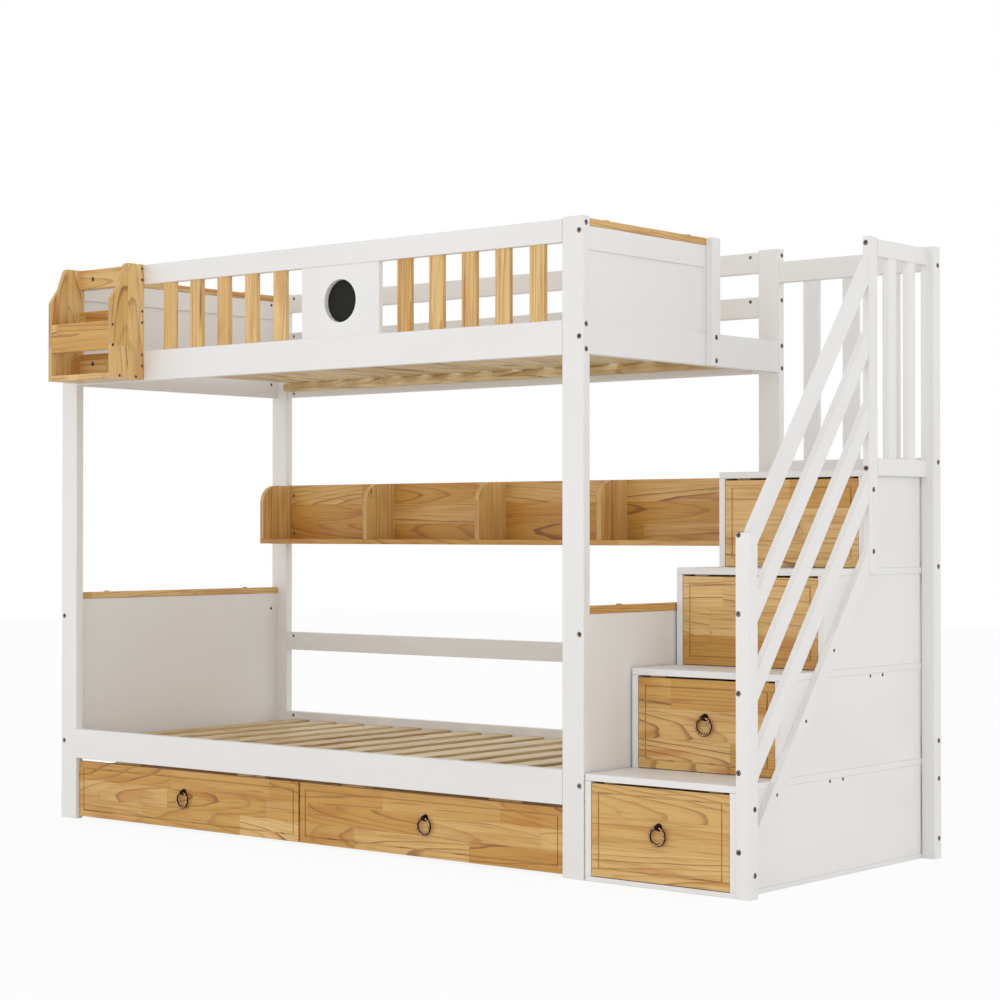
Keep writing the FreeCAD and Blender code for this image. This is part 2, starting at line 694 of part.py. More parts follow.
# ---------------------------------------------------------------- shelf on the wall side
SHELF_FRONT = f"({SHELF_FACE} - wall_shelf_deep)"
BAYS = 4
node("wall_shelf_boards", [
    board(("post_wide", SHELF_FACE, "wall_shelf_base"),
          (INNER_LENGTH, "wall_shelf_board", "wall_shelf_high"), "X"),
    board(("post_wide", SHELF_FRONT, "wall_shelf_base"),
          (INNER_LENGTH, "wall_shelf_deep", "wall_shelf_board"), "X"),
])
TOUCHING = 1e-6     # mm, for telling which edges lie on a face
dividers = []
for count in range(BAYS + 1):
    divider = block(
        (f"post_wide + {count}*({INNER_LENGTH} - wall_shelf_board)/{BAYS}", SHELF_FRONT,
         "wall_shelf_base + wall_shelf_board"),
        ("wall_shelf_board", "wall_shelf_deep", "wall_shelf_high - wall_shelf_board - divider_drop"),
    )
    # The edge along X at the front and top is the one that is rounded.
    doc.recompute()
    front_top = [
        index for index, edge in enumerate(divider.Shape.Edges, 1)
        if edge.CenterOfMass.y < divider.Shape.BoundBox.YMin + TOUCHING
        and edge.CenterOfMass.z > divider.Shape.BoundBox.ZMax - TOUCHING
    ]
    dividers.append(rounded(divider, front_top, "divider_round"))
node("wall_shelf_dividers", dividers)

# ---------------------------------------------------------------- bedside shelf
BEDSIDE_TOP = f"({GUARD_TOP} - bedside_base)"
BEDSIDE_PROFILE = [
    ("0", "0"),
    ("0", BEDSIDE_TOP),
    ("-bedside_top_deep", BEDSIDE_TOP),
    ("-bedside_knee_deep", f"{BEDSIDE_TOP} - bedside_knee_drop"),
    ("-bedside_deep", f"{BEDSIDE_TOP} - bedside_nose_drop"),
    ("-bedside_deep", "0"),
]
bedside_sides = []
for name, side_x in (("bedside_left", "bedside_start"),
                     ("bedside_right", "bedside_start + bedside_wide - bedside_side")):
    side, profile = body_with_sketch(name, "YZ_Plane", (side_x, "0", "bedside_base"))
    outline(profile, BEDSIDE_PROFILE)
    blank = pad(side, profile, "bedside_side")
    doc.recompute()
    turns = [(-number("bedside_top_deep"), number(BEDSIDE_TOP)),
             (-number("bedside_deep"), number(f"{BEDSIDE_TOP} - bedside_nose_drop"))]
    soft = [
        f"Edge{index}" for index, edge in enumerate(blank.Shape.Edges, 1)
        if any(abs(edge.CenterOfMass.y - across) < 1e-6 and abs(edge.CenterOfMass.z - up) < 1e-6
               for across, up in turns)
    ]
    easing = side.newObject("PartDesign::Fillet", f"{name}_easing")
    easing.Base = (blank, soft)
    easing.setExpression("Radius", bound("bedside_round"))
    side.Tip = easing
    bedside_sides.append(side)
node("bedside_shelf_sides", bedside_sides)
BEDSIDE_INNER = "(bedside_wide - 2*bedside_side)"
BEDSIDE_INSIDE = "bedside_start + bedside_side"
bedside_boards = [
    board((BEDSIDE_INSIDE, "-bedside_back", f"{top} - guard_rail_high"),
          (BEDSIDE_INNER, "bedside_back", "guard_rail_high"), "X")
    for top in BEDSIDE_BOARD_TOPS
]
bedside_boards.append(board((BEDSIDE_INSIDE, "-bedside_deep", "bedside_front_base"),
                            (BEDSIDE_INNER, "bedside_front", "bedside_front_high"), "X"))
bedside_boards.append(board((BEDSIDE_INSIDE, "-bedside_deep", "bedside_base"),
                            (BEDSIDE_INNER, "bedside_deep", "bedside_floor"), "X"))
node("bedside_shelf_boards", bedside_boards)

# ---------------------------------------------------------------- stair boxes
STEPS = 4
treads = [board((STAIR_START, "0", "0"), ("stair_wide", STAIR_DEEP, "base_board"), "X")]
side_panels = []
back_panels = []
SIDE_HIGH = "(stair_rise - stair_board)"
for step in range(STEPS):
    front = f"({step}*stair_going)"
    floor = step_top(step - 1)
    treads.append(board((STAIR_START, front, f"{floor} + {SIDE_HIGH}"),
                        ("stair_wide", f"{STAIR_DEEP} - {front}", "stair_board"), "X"))
    for side_x in (STAIR_START, f"{STAIR_SIDE} - stair_board"):
        side_panels.append(block((side_x, front, floor),
                                 ("stair_board", f"{STAIR_DEEP} - stair_board - {front}", SIDE_HIGH)))
    back_panels.append(block((f"{STAIR_START} + back_setin", f"{STAIR_DEEP} - stair_board", floor),
                             ("stair_wide - 2*back_setin", "stair_board", SIDE_HIGH)))
node("stair_treads", treads)
node("stair_side_panels", side_panels)
node("stair_back_panels", back_panels)

# ---------------------------------------------------------------- stair posts and rails
node("stair_newel_post", [board((STAIR_SIDE, "-newel_lead", "0"),
                                ("newel_side", "newel_side", "newel_high"), "Z", "post_round")])
node("stair_landing_posts", [
    board((STAIR_SIDE, "mid_post_front", "mid_post_base"),
          ("mid_post_thick", "mid_post_wide", "landing_post_top - mid_post_base"), "Z", "post_round"),
    board((STAIR_SIDE, REAR_POST_FRONT, "0"),
          ("newel_side", "rear_post_deep", "landing_post_top"), "Z", "post_round"),
])
handrails = []
HANDRAIL_DROP = f"(handrail_wide*sqrt(1 + {SLOPE}^2))"
HANDRAIL_RUN = f"(mid_post_front - {NEWEL_BACK})"
for count in range(HANDRAILS):
    rail = doc.addObject("Part::Wedge", "handrail")
    foot = f"(handrail_first + {count}*handrail_pitch)"
    head = f"({foot} + {HANDRAIL_RUN}*{SLOPE})"
    limits = {
        "Xmin": "0", "Xmax": "handrail_thick", "X2min": "0", "X2max": "handrail_thick",
        "Ymin": "0", "Ymax": HANDRAIL_RUN,
        "Zmin": foot, "Zmax": f"{foot} + {HANDRAIL_DROP}",
        "Z2min": head, "Z2max": f"{head} + {HANDRAIL_DROP}",
    }
    for limit, expression in limits.items():
        setattr(rail, limit, number(expression))
        rail.setExpression(limit, bound(expression))
    place(rail, (STAIR_SIDE, NEWEL_BACK, "0"))
    handrails.append(rail)
node("stair_handrails", handrails)

LANDING_RUN = f"({REAR_POST_FRONT} - {MID_POST_BACK})"
CROSS_LONG = "(stair_gap + stair_wide)"
landing_rails = [
    board((STAIR_SIDE, MID_POST_BACK, base), ("landing_rail_thick", LANDING_RUN, "landing_side_high"), "Y")
    for base in ("landing_side_base", "landing_side_top - landing_side_high")
]
CROSS_RAILS = [
    ("back_top_base", "guard_rail_high"),
    ("back_low_base", "guard_rail_high"),
    ("cross_upper_base", "guard_rail_high"),
    ("cross_lower_base", "guard_rail_high"),
    ("cross_board_base", "cross_board_high"),
]
landing_rails += [board(("bed_length", CROSS_FACE, base), (CROSS_LONG, "rail_thick", high), "X")
                  for base, high in CROSS_RAILS]
node("landing_rails", landing_rails)
SIDE_SLATS = 2
BACK_SLATS = 3
SIDE_SLAT_BASE = "(landing_side_base + landing_side_high)"
BACK_SLAT_BASE = "(back_low_base + guard_rail_high)"
SIDE_SPACE = f"(({LANDING_RUN} - {SIDE_SLATS}*landing_slat_wide)/{SIDE_SLATS + 1})"
BACK_SPACE = f"(({CROSS_LONG} - {BACK_SLATS}*guard_slat_wide)/{BACK_SLATS + 1})"
landing_slats = [
    board((f"{STAIR_SIDE} + (landing_rail_thick - landing_slat_thick)/2",
           f"{MID_POST_BACK} + {SIDE_SPACE} + {count}*({SIDE_SPACE} + landing_slat_wide)", SIDE_SLAT_BASE),
          ("landing_slat_thick", "landing_slat_wide",
           f"landing_side_top - landing_side_high - {SIDE_SLAT_BASE}"), "Z")
    for count in range(SIDE_SLATS)
]
landing_slats += [
    board((f"bed_length + {BACK_SPACE} + {count}*({BACK_SPACE} + guard_slat_wide)",
           f"{CROSS_FACE} + (rail_thick - guard_slat_thick)/2", BACK_SLAT_BASE),
          ("guard_slat_wide", "guard_slat_thick", f"back_top_base - {BACK_SLAT_BASE}"), "Z")
    for count in range(BACK_SLATS)
]
node("landing_slats", landing_slats)


# ---------------------------------------------------------------- drawers
def drawer_front(name, at, wide, high, inset):
    """A pine front with a groove all round its face, inset from the edges."""
    front, face = body_with_sketch(f"{name}_front", "XZ_Plane", at)
    rectangle(face, "0", "0", wide, high)
    solid = pad(front, face, "front_thick", reverse=True)
    doc.recompute()
    line = front.newObject("Sketcher::SketchObject", f"{name}_groove_line")
    plane = [item for item in front.Origin.OriginFeatures if item.Role == "XZ_Plane"][0]
    line.AttachmentSupport = [(plane, "")]
    line.MapMode = "FlatFace"
    rectangle(line, inset, inset, f"{wide} - {inset}", f"{high} - {inset}")
    inner = f"({inset} + groove_wide)"
    rectangle(line, inner, inner, f"{wide} - {inner}", f"{high} - {inner}")
    groove = front.newObject("PartDesign::Pocket", f"{name}_groove")
    groove.Profile = line
    groove.setExpression("Length", bound("groove_deep"))
    groove.Reversed = False
    front.Tip = groove
    doc.recompute()
    if groove.Shape.Volume > solid.Shape.Volume - 1:
        raise ValueError(f"{name}: the groove cuts nothing")
    node(f"{name}_front", [front])


def drawer_box(name, at, wide, deep, high, extra=()):
    """Two sides, a back and a floor behind a front, open at the top."""
    x, y, z = at
    pieces = [
        block((x, y, z), ("box_board", deep, high)),
        block((f"{x} + {wide} - box_board", y, z), ("box_board", deep, high)),
        block((f"{x} + box_board", f"{y} + {deep} - box_board", z),
              (f"{wide} - 2*box_board", "box_board", high)),
        block((f"{x} + box_board", y, z),
              (f"{wide} - 2*box_board", f"{deep} - box_board", "box_floor")),
    ]
    node(f"{name}_box", pieces + list(extra))


def ring_pull(name, middle_x, face_y, middle_z):
    """A stud on a rosette, and the ring that hangs through the stud's bore."""
    pivot_z = f"({middle_z} + (ring_wide - ring_wire)/2)"
    mount = doc.addObject("Part::Fuse", f"{name}_stud_on_rosette")
    mount.Base = rod((middle_x, face_y, pivot_z), "rosette_wide", "rosette_thick", "-Y")
    mount.Tool = rod((middle_x, face_y, pivot_z), "stud_wide", "stud_long", "-Y")
    pierced = doc.addObject("Part::Cut", f"{name}_pierced")
    pierced.Base = mount
    pierced.Tool = rod((f"{middle_x} - rosette_wide", f"{face_y} - ring_stand", pivot_z),
                       "stud_bore", "2*rosette_wide", "+X")
    node(f"{name}_ring_mount", [pierced])
    ring = doc.addObject("Part::Torus", f"{name}_ring_body")
    ring.setExpression("Radius1", bound("(ring_wide - ring_wire)/2"))
    ring.setExpression("Radius2", bound("ring_wire/2"))
    ring.Placement = FreeCAD.Placement(Vector(), Rotation(Vector(1, 0, 0), 90))
    place(ring, (middle_x, f"{face_y} - ring_stand", middle_z))
    node(f"{name}_ring", [ring])


def wheel_set(name, box_x, box_wide, axle_y):
    """Two wheels fixed on one axle, which turns in two bearers under the drawer."""
    ends = [
        (f"({box_x} + bearer_inset)", f"({box_x} + bearer_inset - wheel_gap - wheel_thick)"),
        (f"({box_x} + {box_wide} - bearer_inset - bearer_thick)",
         f"({box_x} + {box_wide} - bearer_inset + wheel_gap)"),
    ]
    bearers = []
    axle = rod((ends[0][1], axle_y, WHEEL_HEIGHT), "axle_thick",
               f"{ends[1][1]} + wheel_thick - {ends[0][1]}", "+X")
    turning = doc.addObject("Part::MultiFuse", f"{name}_turning")
    turning.Shapes = [axle] + [rod((wheel_x, axle_y, WHEEL_HEIGHT), "wheel_wide", "wheel_thick", "+X")
                               for _, wheel_x in ends]
    node(name, [turning])
    for bearer_x, _ in ends:
        bearer = doc.addObject("Part::Cut", f"{name}_bearer")
        bearer.Base = block((bearer_x, f"{axle_y} - bearer_deep/2", "bed_drawer_lift"),
                            ("bearer_thick", "bearer_deep", "bed_box_lift"))
        bearer.Tool = rod((f"{bearer_x} - bearer_thick", axle_y, WHEEL_HEIGHT),
                          "axle_thick + 2*axle_play", "3*bearer_thick", "+X")
        bearers.append(bearer)
    return bearers


stops = []
BED_FRONT_HIGH = f"({BED_FRONT_TOP} - bed_drawer_lift)"
BED_BOX_HIGH = f"({BED_FRONT_HIGH} - bed_box_lift - box_top_gap)"
BED_BOX_Y = "(bed_drawer_setback + front_thick)"
BED_BOX_DEEP = f"({BACK_RAIL} - bed_box_back_gap - {BED_BOX_Y})"
for count, name in enumerate(("bed_drawer_left", "bed_drawer_right")):
    front_x = f"(post_wide + bed_drawer_side_gap + {count}*({BED_FRONT_WIDE} + bed_drawer_mid_gap))"
    middle = f"({front_x} + {BED_FRONT_WIDE}/2)"
    box_x = f"({front_x} + bed_drawer_inset)"
    box_wide = f"({BED_FRONT_WIDE} - 2*bed_drawer_inset)"
    drawer_front(name, (front_x, "bed_drawer_setback", "bed_drawer_lift"),
                 BED_FRONT_WIDE, BED_FRONT_HIGH, "bed_drawer_inset")
    bearers = []
    for place_name, axle_y in (("front", f"{BED_BOX_Y} + 2*bearer_deep"),
                               ("rear", f"{BED_BOX_Y} + {BED_BOX_DEEP} - 2*bearer_deep")):
        bearers += wheel_set(f"{name}_wheels_{place_name}", box_x, box_wide, axle_y)
    drawer_box(name, (box_x, BED_BOX_Y, "bed_drawer_lift + bed_box_lift"),
               box_wide, BED_BOX_DEEP, BED_BOX_HIGH, bearers)
    ring_pull(name, middle, "bed_drawer_setback", f"(bed_drawer_lift + {BED_FRONT_HIGH}/2)")
    for side in (-1, 1):
        stops.append(block(
            (f"{middle} + {side}*bed_stop_offset - bed_stop_wide/2", f"{BED_BOX_Y} + stop_gap",
             f"lower_rail_base - bed_drawer_top_gap - stop_gap"),
            ("bed_stop_wide", "stop_thick", "bed_drawer_top_gap + stop_gap + ledger_rise"),
        ))

STAIR_FRONT_HIGH = f"({SIDE_HIGH} - stair_front_foot_gap - stair_front_top_gap)"
STAIR_BOX_HIGH = f"({STAIR_FRONT_HIGH} - box_top_gap)"
# Depth left behind the front of a step, before the clearance at the back panel.
STAIR_BOX_ROOM = f"({STAIR_DEEP} - stair_board - stair_front_setback - front_thick)"
LOWER_BOX_DEEP = f"({STAIR_BOX_ROOM} - {STEPS - 2}*stair_going - stair_box_back_gap)"
TOP_BOX_DEEP = f"({STAIR_BOX_ROOM} - {STEPS - 1}*stair_going - top_box_back_gap)"
for step in range(STEPS):
    name = f"stair_drawer_{step + 1}"
    floor = step_top(step - 1)
    face_y = f"({step}*stair_going + stair_front_setback)"
    deep = LOWER_BOX_DEEP if step < STEPS - 1 else TOP_BOX_DEEP
    front_x = f"({STAIR_START} + stair_board + stair_front_side_gap)"
    front_z = f"({floor} + stair_front_foot_gap)"
    drawer_front(name, (front_x, face_y, front_z), STAIR_FRONT_WIDE, STAIR_FRONT_HIGH, "stair_front_inset")
    drawer_box(name, (f"({STAIR_START} + stair_board + stair_box_gap)", f"({face_y} + front_thick)",
                      f"({floor} + stair_box_lift)"),
               "(stair_wide - 2*stair_board - 2*stair_box_gap)", deep, STAIR_BOX_HIGH)
    ring_pull(name, STAIR_MIDDLE, face_y, f"({front_z} + {STAIR_FRONT_HIGH}/2)")
    for side in (-1, 1):
        stops.append(block(
            (f"{STAIR_MIDDLE} + {side}*stair_stop_offset - stair_stop_wide/2",
             f"{face_y} + front_thick + stop_gap", f"{floor} + {SIDE_HIGH} - stop_reach"),
            ("stair_stop_wide", "stop_thick", "stop_reach"),
        ))
node("drawer_stops", stops)

# ---------------------------------------------------------------- fasteners as one group
hardware = doc.addObject("Part::Feature", "hardware")
hardware.Shape = Part.makeCompound(fasteners)
node("frame_bolts", [hardware])

# ---------------------------------------------------------------- check and write
doc.recompute()
faults = [item.Name for item in doc.Objects if {"Invalid", "Error"} & set(item.State)]
for name, item in nodes.items():
    if item.Shape.isNull() or not item.Shape.isValid() or not item.Shape.Solids:
        faults.append(name)
if faults:
    raise ValueError("Not built: " + ", ".join(faults))
for name, item in nodes.items():
    item.Shape.exportStep(f"parts/{name}.step")
print(len(nodes), "sub-parts,", sum(len(item.Shape.Solids) for item in nodes.values()), "solids")
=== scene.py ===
# %% [markdown]
# # Bunk bed with storage stairs
# This bed is flat boards and round hardware. The white posts, rails and stair boxes are
# painted, the drawers, shelves and guard slats are pine under clear lacquer, and the
# ring pulls, bolts and wheels are small turned parts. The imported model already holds
# every board at its real size, so this lesson keeps those boards, gives them their
# finishes, and models the turned hardware again with more detail than a plain solid has.

import json
import math

import bmesh
import bpy
from mathutils import Matrix, Vector

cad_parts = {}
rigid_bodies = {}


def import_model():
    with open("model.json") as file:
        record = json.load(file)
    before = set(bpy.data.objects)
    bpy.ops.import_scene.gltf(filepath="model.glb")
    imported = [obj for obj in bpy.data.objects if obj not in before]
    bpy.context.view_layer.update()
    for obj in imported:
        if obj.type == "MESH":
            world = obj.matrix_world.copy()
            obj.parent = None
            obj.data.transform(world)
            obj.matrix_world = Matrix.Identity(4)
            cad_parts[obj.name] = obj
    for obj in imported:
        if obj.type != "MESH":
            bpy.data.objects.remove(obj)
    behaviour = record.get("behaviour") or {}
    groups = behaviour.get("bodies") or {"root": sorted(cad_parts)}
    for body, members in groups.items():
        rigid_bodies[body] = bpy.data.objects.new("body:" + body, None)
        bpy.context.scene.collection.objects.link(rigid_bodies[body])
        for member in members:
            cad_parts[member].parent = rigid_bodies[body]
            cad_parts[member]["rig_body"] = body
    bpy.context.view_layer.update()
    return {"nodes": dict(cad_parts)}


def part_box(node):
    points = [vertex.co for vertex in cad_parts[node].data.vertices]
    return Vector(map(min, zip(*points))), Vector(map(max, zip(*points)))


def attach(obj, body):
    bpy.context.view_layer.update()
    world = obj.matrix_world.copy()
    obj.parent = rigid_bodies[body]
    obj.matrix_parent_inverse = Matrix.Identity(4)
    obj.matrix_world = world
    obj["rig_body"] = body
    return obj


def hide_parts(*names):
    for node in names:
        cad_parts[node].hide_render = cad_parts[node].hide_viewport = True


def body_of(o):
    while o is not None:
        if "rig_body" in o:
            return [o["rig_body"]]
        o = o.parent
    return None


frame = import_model()
nodes = frame["nodes"]

# %% [markdown]
# ## Where the photograph was taken from
# The bed's own straight edges fix the viewpoint: a few metres in front of the bed, beyond
# the foot of the stairs, at the height of an eye that looks over the lower bed. A long
# lens keeps the uprights nearly parallel, so no lens shift is needed and none is used.

# %% Place the camera
scene = bpy.context.scene
photo_camera = bpy.data.objects.new("photo_camera", bpy.data.cameras.new("photo_camera"))
photo_camera.data.lens = 82.592
photo_camera.data.sensor_width = 36
photo_camera.location = (4.35044, -5.07286, 0.89475)
photo_camera.rotation_euler = [math.radians(turn) for turn in (90.7571, 0, 39.5663)]
scene.collection.objects.link(photo_camera)
scene.camera = photo_camera
scene.view_settings.view_transform = "Standard"
print("camera at", [round(place, 2) for place in photo_camera.location])

# %% [markdown]
# ## Arithmetic on shader sockets
# A finish is a sum of small patterns, and a sum reads best when it is written as one. This
# class holds one output socket of a shader node. Python's signs on it add Math nodes, and
# one method adds any other node: its settings first, then what goes into its sockets.

# %% Wrap a socket
class Signal:
    """What one output socket gives, anywhere on a surface."""

    def __init__(self, tree, socket=None):
        self.tree = tree
        self.socket = socket

    def node(self, kind, inputs=None, output=0, **settings):
        """Adds a node and gives one of its outputs."""
        made = self.tree.nodes.new(kind)
        for name, setting in settings.items():
            setattr(made, name, setting)
        for name, value in (inputs or {}).items():
            if isinstance(value, Signal):
                self.tree.links.new(value.socket, made.inputs[name])
            else:
                made.inputs[name].default_value = value
        return Signal(self.tree, made.outputs[output])

    def output(self, name):
        """Another output of the same node."""
        return Signal(self.tree, self.socket.node.outputs[name])

    def maths(self, operation, *inputs):
        """A Math node on this signal, or on two that are given."""
        return self.node("ShaderNodeMath", dict(enumerate(inputs or (self,))),
                         operation=operation)

    def __add__(self, other):
        return self.maths("ADD", self, other)

    __radd__ = __add__

    def __sub__(self, other):
        return self.maths("SUBTRACT", self, other)

    def __rsub__(self, other):
        return self.maths("SUBTRACT", other, self)

    def __mul__(self, other):
        return self.maths("MULTIPLY", self, other)

    __rmul__ = __mul__

    def __truediv__(self, other):
        return self.maths("DIVIDE", self, other)

    def __pow__(self, power):
        return self.maths("POWER", self, power)

    def __abs__(self):
        return self.maths("ABSOLUTE")

    def __floor__(self):
        return self.maths("FLOOR")

    def part(self):
        """What is left of a number above its whole part."""
        return self.maths("FRACT")

    def larger(self, other):
        return self.maths("MAXIMUM", self, other)

    def step(self, low, high):
        """A smooth step from 0 at low to 1 at high."""
        return self.node("ShaderNodeMapRange",
                         {"Value": self, "From Min": low, "From Max": high},
                         interpolation_type="SMOOTHSTEP")

    def mix(self, first, second):
        """The first colour where this is 0, the second where it is 1."""
        return self.node("ShaderNodeMix", {0: self, 6: first, 7: second}, output=2,
                         data_type="RGBA")


print("signals ready")

# %% [markdown]
# ## Studio light
# The photograph has the flat light of a catalogue picture, and the lower bed is hardly
# darker than the upper one. So the room is a white world whose walls shine more than its
# ceiling, which sends light in under the upper bed, and two broad lamps stand low and
# far off. Rays that the camera or a mirror-like surface sends see full white, while the
# light that falls on the bed stays at its own level.

# %% Light the room
CEILING_LEVEL = 0.80
WALL_LEVEL = 1.12
LAMP_WIDTH = 6.0
LAMP_AIM = Vector((0, 0, 0.6))

world = bpy.data.worlds.new("studio")
world.use_nodes = True
scene.world = world
room = Signal(world.node_tree)
path = room.node("ShaderNodeLightPath", output="Is Camera Ray")
seen = path.larger(path.output("Is Glossy Ray")).larger(path.output("Is Transmission Ray"))
way = room.node("ShaderNodeTexCoord", output="Generated")
steep = abs(way.node("ShaderNodeSeparateXYZ", {0: way}, output="Z"))
level = (1 - steep) ** 2 * (WALL_LEVEL - CEILING_LEVEL) + CEILING_LEVEL
background = world.node_tree.nodes["Background"]
background.inputs["Color"].default_value = (1, 1, 1, 1)
world.node_tree.links.new((seen * (1 - level) + level).socket, background.inputs["Strength"])


def soft_lamp(name, location, watts):
    """A broad square lamp that faces the bed."""
    lamp = bpy.data.objects.new(name, bpy.data.lights.new(name, "AREA"))
    lamp.data.size = LAMP_WIDTH
    lamp.data.energy = watts
    lamp.location = location
    lamp.rotation_euler = (LAMP_AIM - Vector(location)).to_track_quat("-Z", "Y").to_euler()
    scene.collection.objects.link(lamp)


soft_lamp("front_lamp", (-3.0, -10.0, 1.2), 90)
soft_lamp("end_lamp", (9.5, -7.0, 1.2), 150)
print("walls", WALL_LEVEL, "ceiling", CEILING_LEVEL)

# %% [markdown]
# ## Floor
# The bed stands on a white sweep with hardly any edge to its shadow. The floor is a plain
# pale surface, and for the camera it is mixed with an even white glow, so that it meets
# the white background without a line and still keeps the shadow under the bed.

# %% Lay the floor
FLOOR_REACH = 14
FLOOR_GLOW = 0.9        # share of the glow in what the camera sees


def as_object(name, shape):
    """Puts a shape into the scene as an object, and frees the shape."""
    mesh = bpy.data.meshes.new(name)
    shape.to_mesh(mesh)
    shape.free()
    thing = bpy.data.objects.new(name, mesh)
    scene.collection.objects.link(thing)
    return thing


def new_finish(name, **constants):
    """A material, its principled shader with its constants set, and a signal to start from."""
    finish = bpy.data.materials.new(name)
    finish.use_nodes = True
    shader = finish.node_tree.nodes["Principled BSDF"]
    for socket, value in constants.items():
        shader.inputs[socket.replace("_", " ")].default_value = value
    return finish, shader, Signal(finish.node_tree)


floor_shape = bmesh.new()
bmesh.ops.create_grid(floor_shape, x_segments=1, y_segments=1, size=FLOOR_REACH)
floor = as_object("floor", floor_shape)

floor_white, shader, start = new_finish("floor_white", Base_Color=(0.92, 0.92, 0.92, 1),
                                        Roughness=0.9, Specular_IOR_Level=0.1)
floor.data.materials.append(floor_white)
path = start.node("ShaderNodeLightPath", output="Is Camera Ray")
glow = start.node("ShaderNodeEmission", {"Color": (1, 1, 1, 1), "Strength": 1.0})
blend = start.node("ShaderNodeMixShader",
                   {0: path * FLOOR_GLOW, 1: Signal(start.tree, shader.outputs[0]), 2: glow})
start.tree.links.new(blend.socket, start.tree.nodes["Material Output"].inputs["Surface"])
print("floor", 2 * FLOOR_REACH, "m square")

# %% [markdown]
# ## Directions in a board
# Wood has a direction, so every finish needs to know which way its board runs. All
# finishes read Object coordinates, in metres, and every board lies along an axis of the
# bed, so three dot products give the distance along a board, across it and through it.
# The sloping handrails run up the stairs, so theirs are turned to the slope.

# %% Name the directions
X, Y, Z = Vector((1, 0, 0)), Vector((0, 1, 0)), Vector((0, 0, 1))
STAIR_RISE = 0.2605
STAIR_GOING = 0.20325
STAIR_SLOPE = math.atan2(STAIR_RISE, STAIR_GOING)
UP_STAIR = Vector((0, math.cos(STAIR_SLOPE), math.sin(STAIR_SLOPE)))
OFF_STAIR = Vector((0, -math.sin(STAIR_SLOPE), math.cos(STAIR_SLOPE)))


def connect(shader, **signals):
    """Links signals to a shader's sockets."""
    for name, signal in signals.items():
        signal.tree.links.new(signal.socket, shader.inputs[name.replace("_", " ")])


def measure(start, along, across, reading="Object"):
    """How far a point lies along a board, across it and through it."""
    place = start.node("ShaderNodeTexCoord", output=reading)
    return [place.node("ShaderNodeVectorMath", {0: place, 1: direction}, output="Value",
                       operation="DOT_PRODUCT")
            for direction in (along, across, along.cross(across))]


def rounded_edge(start, along, across):
    """1 on a board's rounded edges and 0 on its flat faces, from the way the surface faces."""
    run, side, deep = (abs(part) for part in measure(start, along, across, "Normal"))
    return run.larger(side).larger(deep).step(0.995, 0.86)


def gather(*parts):
    """Three numbers, constant or not, as one vector."""
    signal = next(part for part in parts if isinstance(part, Signal))
    return signal.node("ShaderNodeCombineXYZ", dict(enumerate(parts)))


def noise(vector, scale=1.0, detail=2.0, roughness=0.5):
    """Soft noise between 0 and 1, around a half."""
    return vector.node("ShaderNodeTexNoise", {"Vector": vector, "Scale": scale,
                                              "Detail": detail, "Roughness": roughness})


def dice(*parts):
    """A random number for each whole-numbered place."""
    place = gather(*parts)
    return place.node("ShaderNodeTexWhiteNoise", {"Vector": place}, noise_dimensions="3D")


def three_parts(colour):
    """The three numbers that a colour holds."""
    red = colour.node("ShaderNodeSeparateColor", {0: colour})
    return red, red.output("Green"), red.output("Blue")


def bump(height, depth, strength=1.0):
    """A bumped normal from a height between 0 and 1, and the depth it stands for."""
    return height.node("ShaderNodeBump", {"Height": height, "Distance": depth,
                                          "Strength": strength}, output="Normal")


def dress(finish, *names):
    """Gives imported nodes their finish."""
    for name in names:
        nodes[name].material_slots[0].material = finish


print("stairs climb at", round(math.degrees(STAIR_SLOPE), 1), "degrees")

# %% [markdown]
# ## Pine
# A pine panel is glued up from narrow staves, each joined end to end from shorter lengths
# with cut fingers, so tone and figure change from one length to the next. The lines in
# each length are the yearly rings of its tree. A ring is round and a board cuts it
# lengthwise, so the pattern here is the distance to the tree's heart, which lies at its
# own depth and lean behind every length. The same rule then draws the arches on a face,
# the straight lines on its edges and the curls round a knot.

# %% Mix the pine finish
RING = 0.0068           # one year's growth; this and all sizes here are in metres
RING_SWAY = 0.017       # how far a ring strays from its circle
FINGER = 0.0042         # pitch of a finger joint, seen on a board's edge
FINGER_DEEP = 0.007
SEAM = 0.0009           # half a dark joint between two lengths
GLUE = 0.0006           # half a glue line between two staves
HEART_NEAR = 0.012      # the least depth of the heart behind a face
HEART_MORE = 0.09       # what chance adds to it
HEART_PITCH = 0.06      # depth after which another heart begins
HEART_ASIDE = 1.6       # widths of a stave that it may lie to the side
HEART_LEAN = 0.13       # rise of the heart in the length of a board
KNOT_SPACE = 0.30
KNOT_CORE = 0.0065      # radius of a knot
KNOT_CURL = 0.05        # distance within which rings bend round it
KNOT_PUSH = 0.03        # how far they are pushed

LATE = (0.250, 0.105, 0.032, 1)
KNOT = (0.120, 0.042, 0.014, 1)
LACQUERED = {"pale": (0.780, 0.530, 0.215, 1), "honey": (0.590, 0.315, 0.066, 1),
             "amber": (0.470, 0.165, 0.020, 1)}
BARE = {"pale": (0.790, 0.625, 0.350, 1), "honey": (0.630, 0.450, 0.210, 1),
        "amber": (0.460, 0.290, 0.110, 1)}


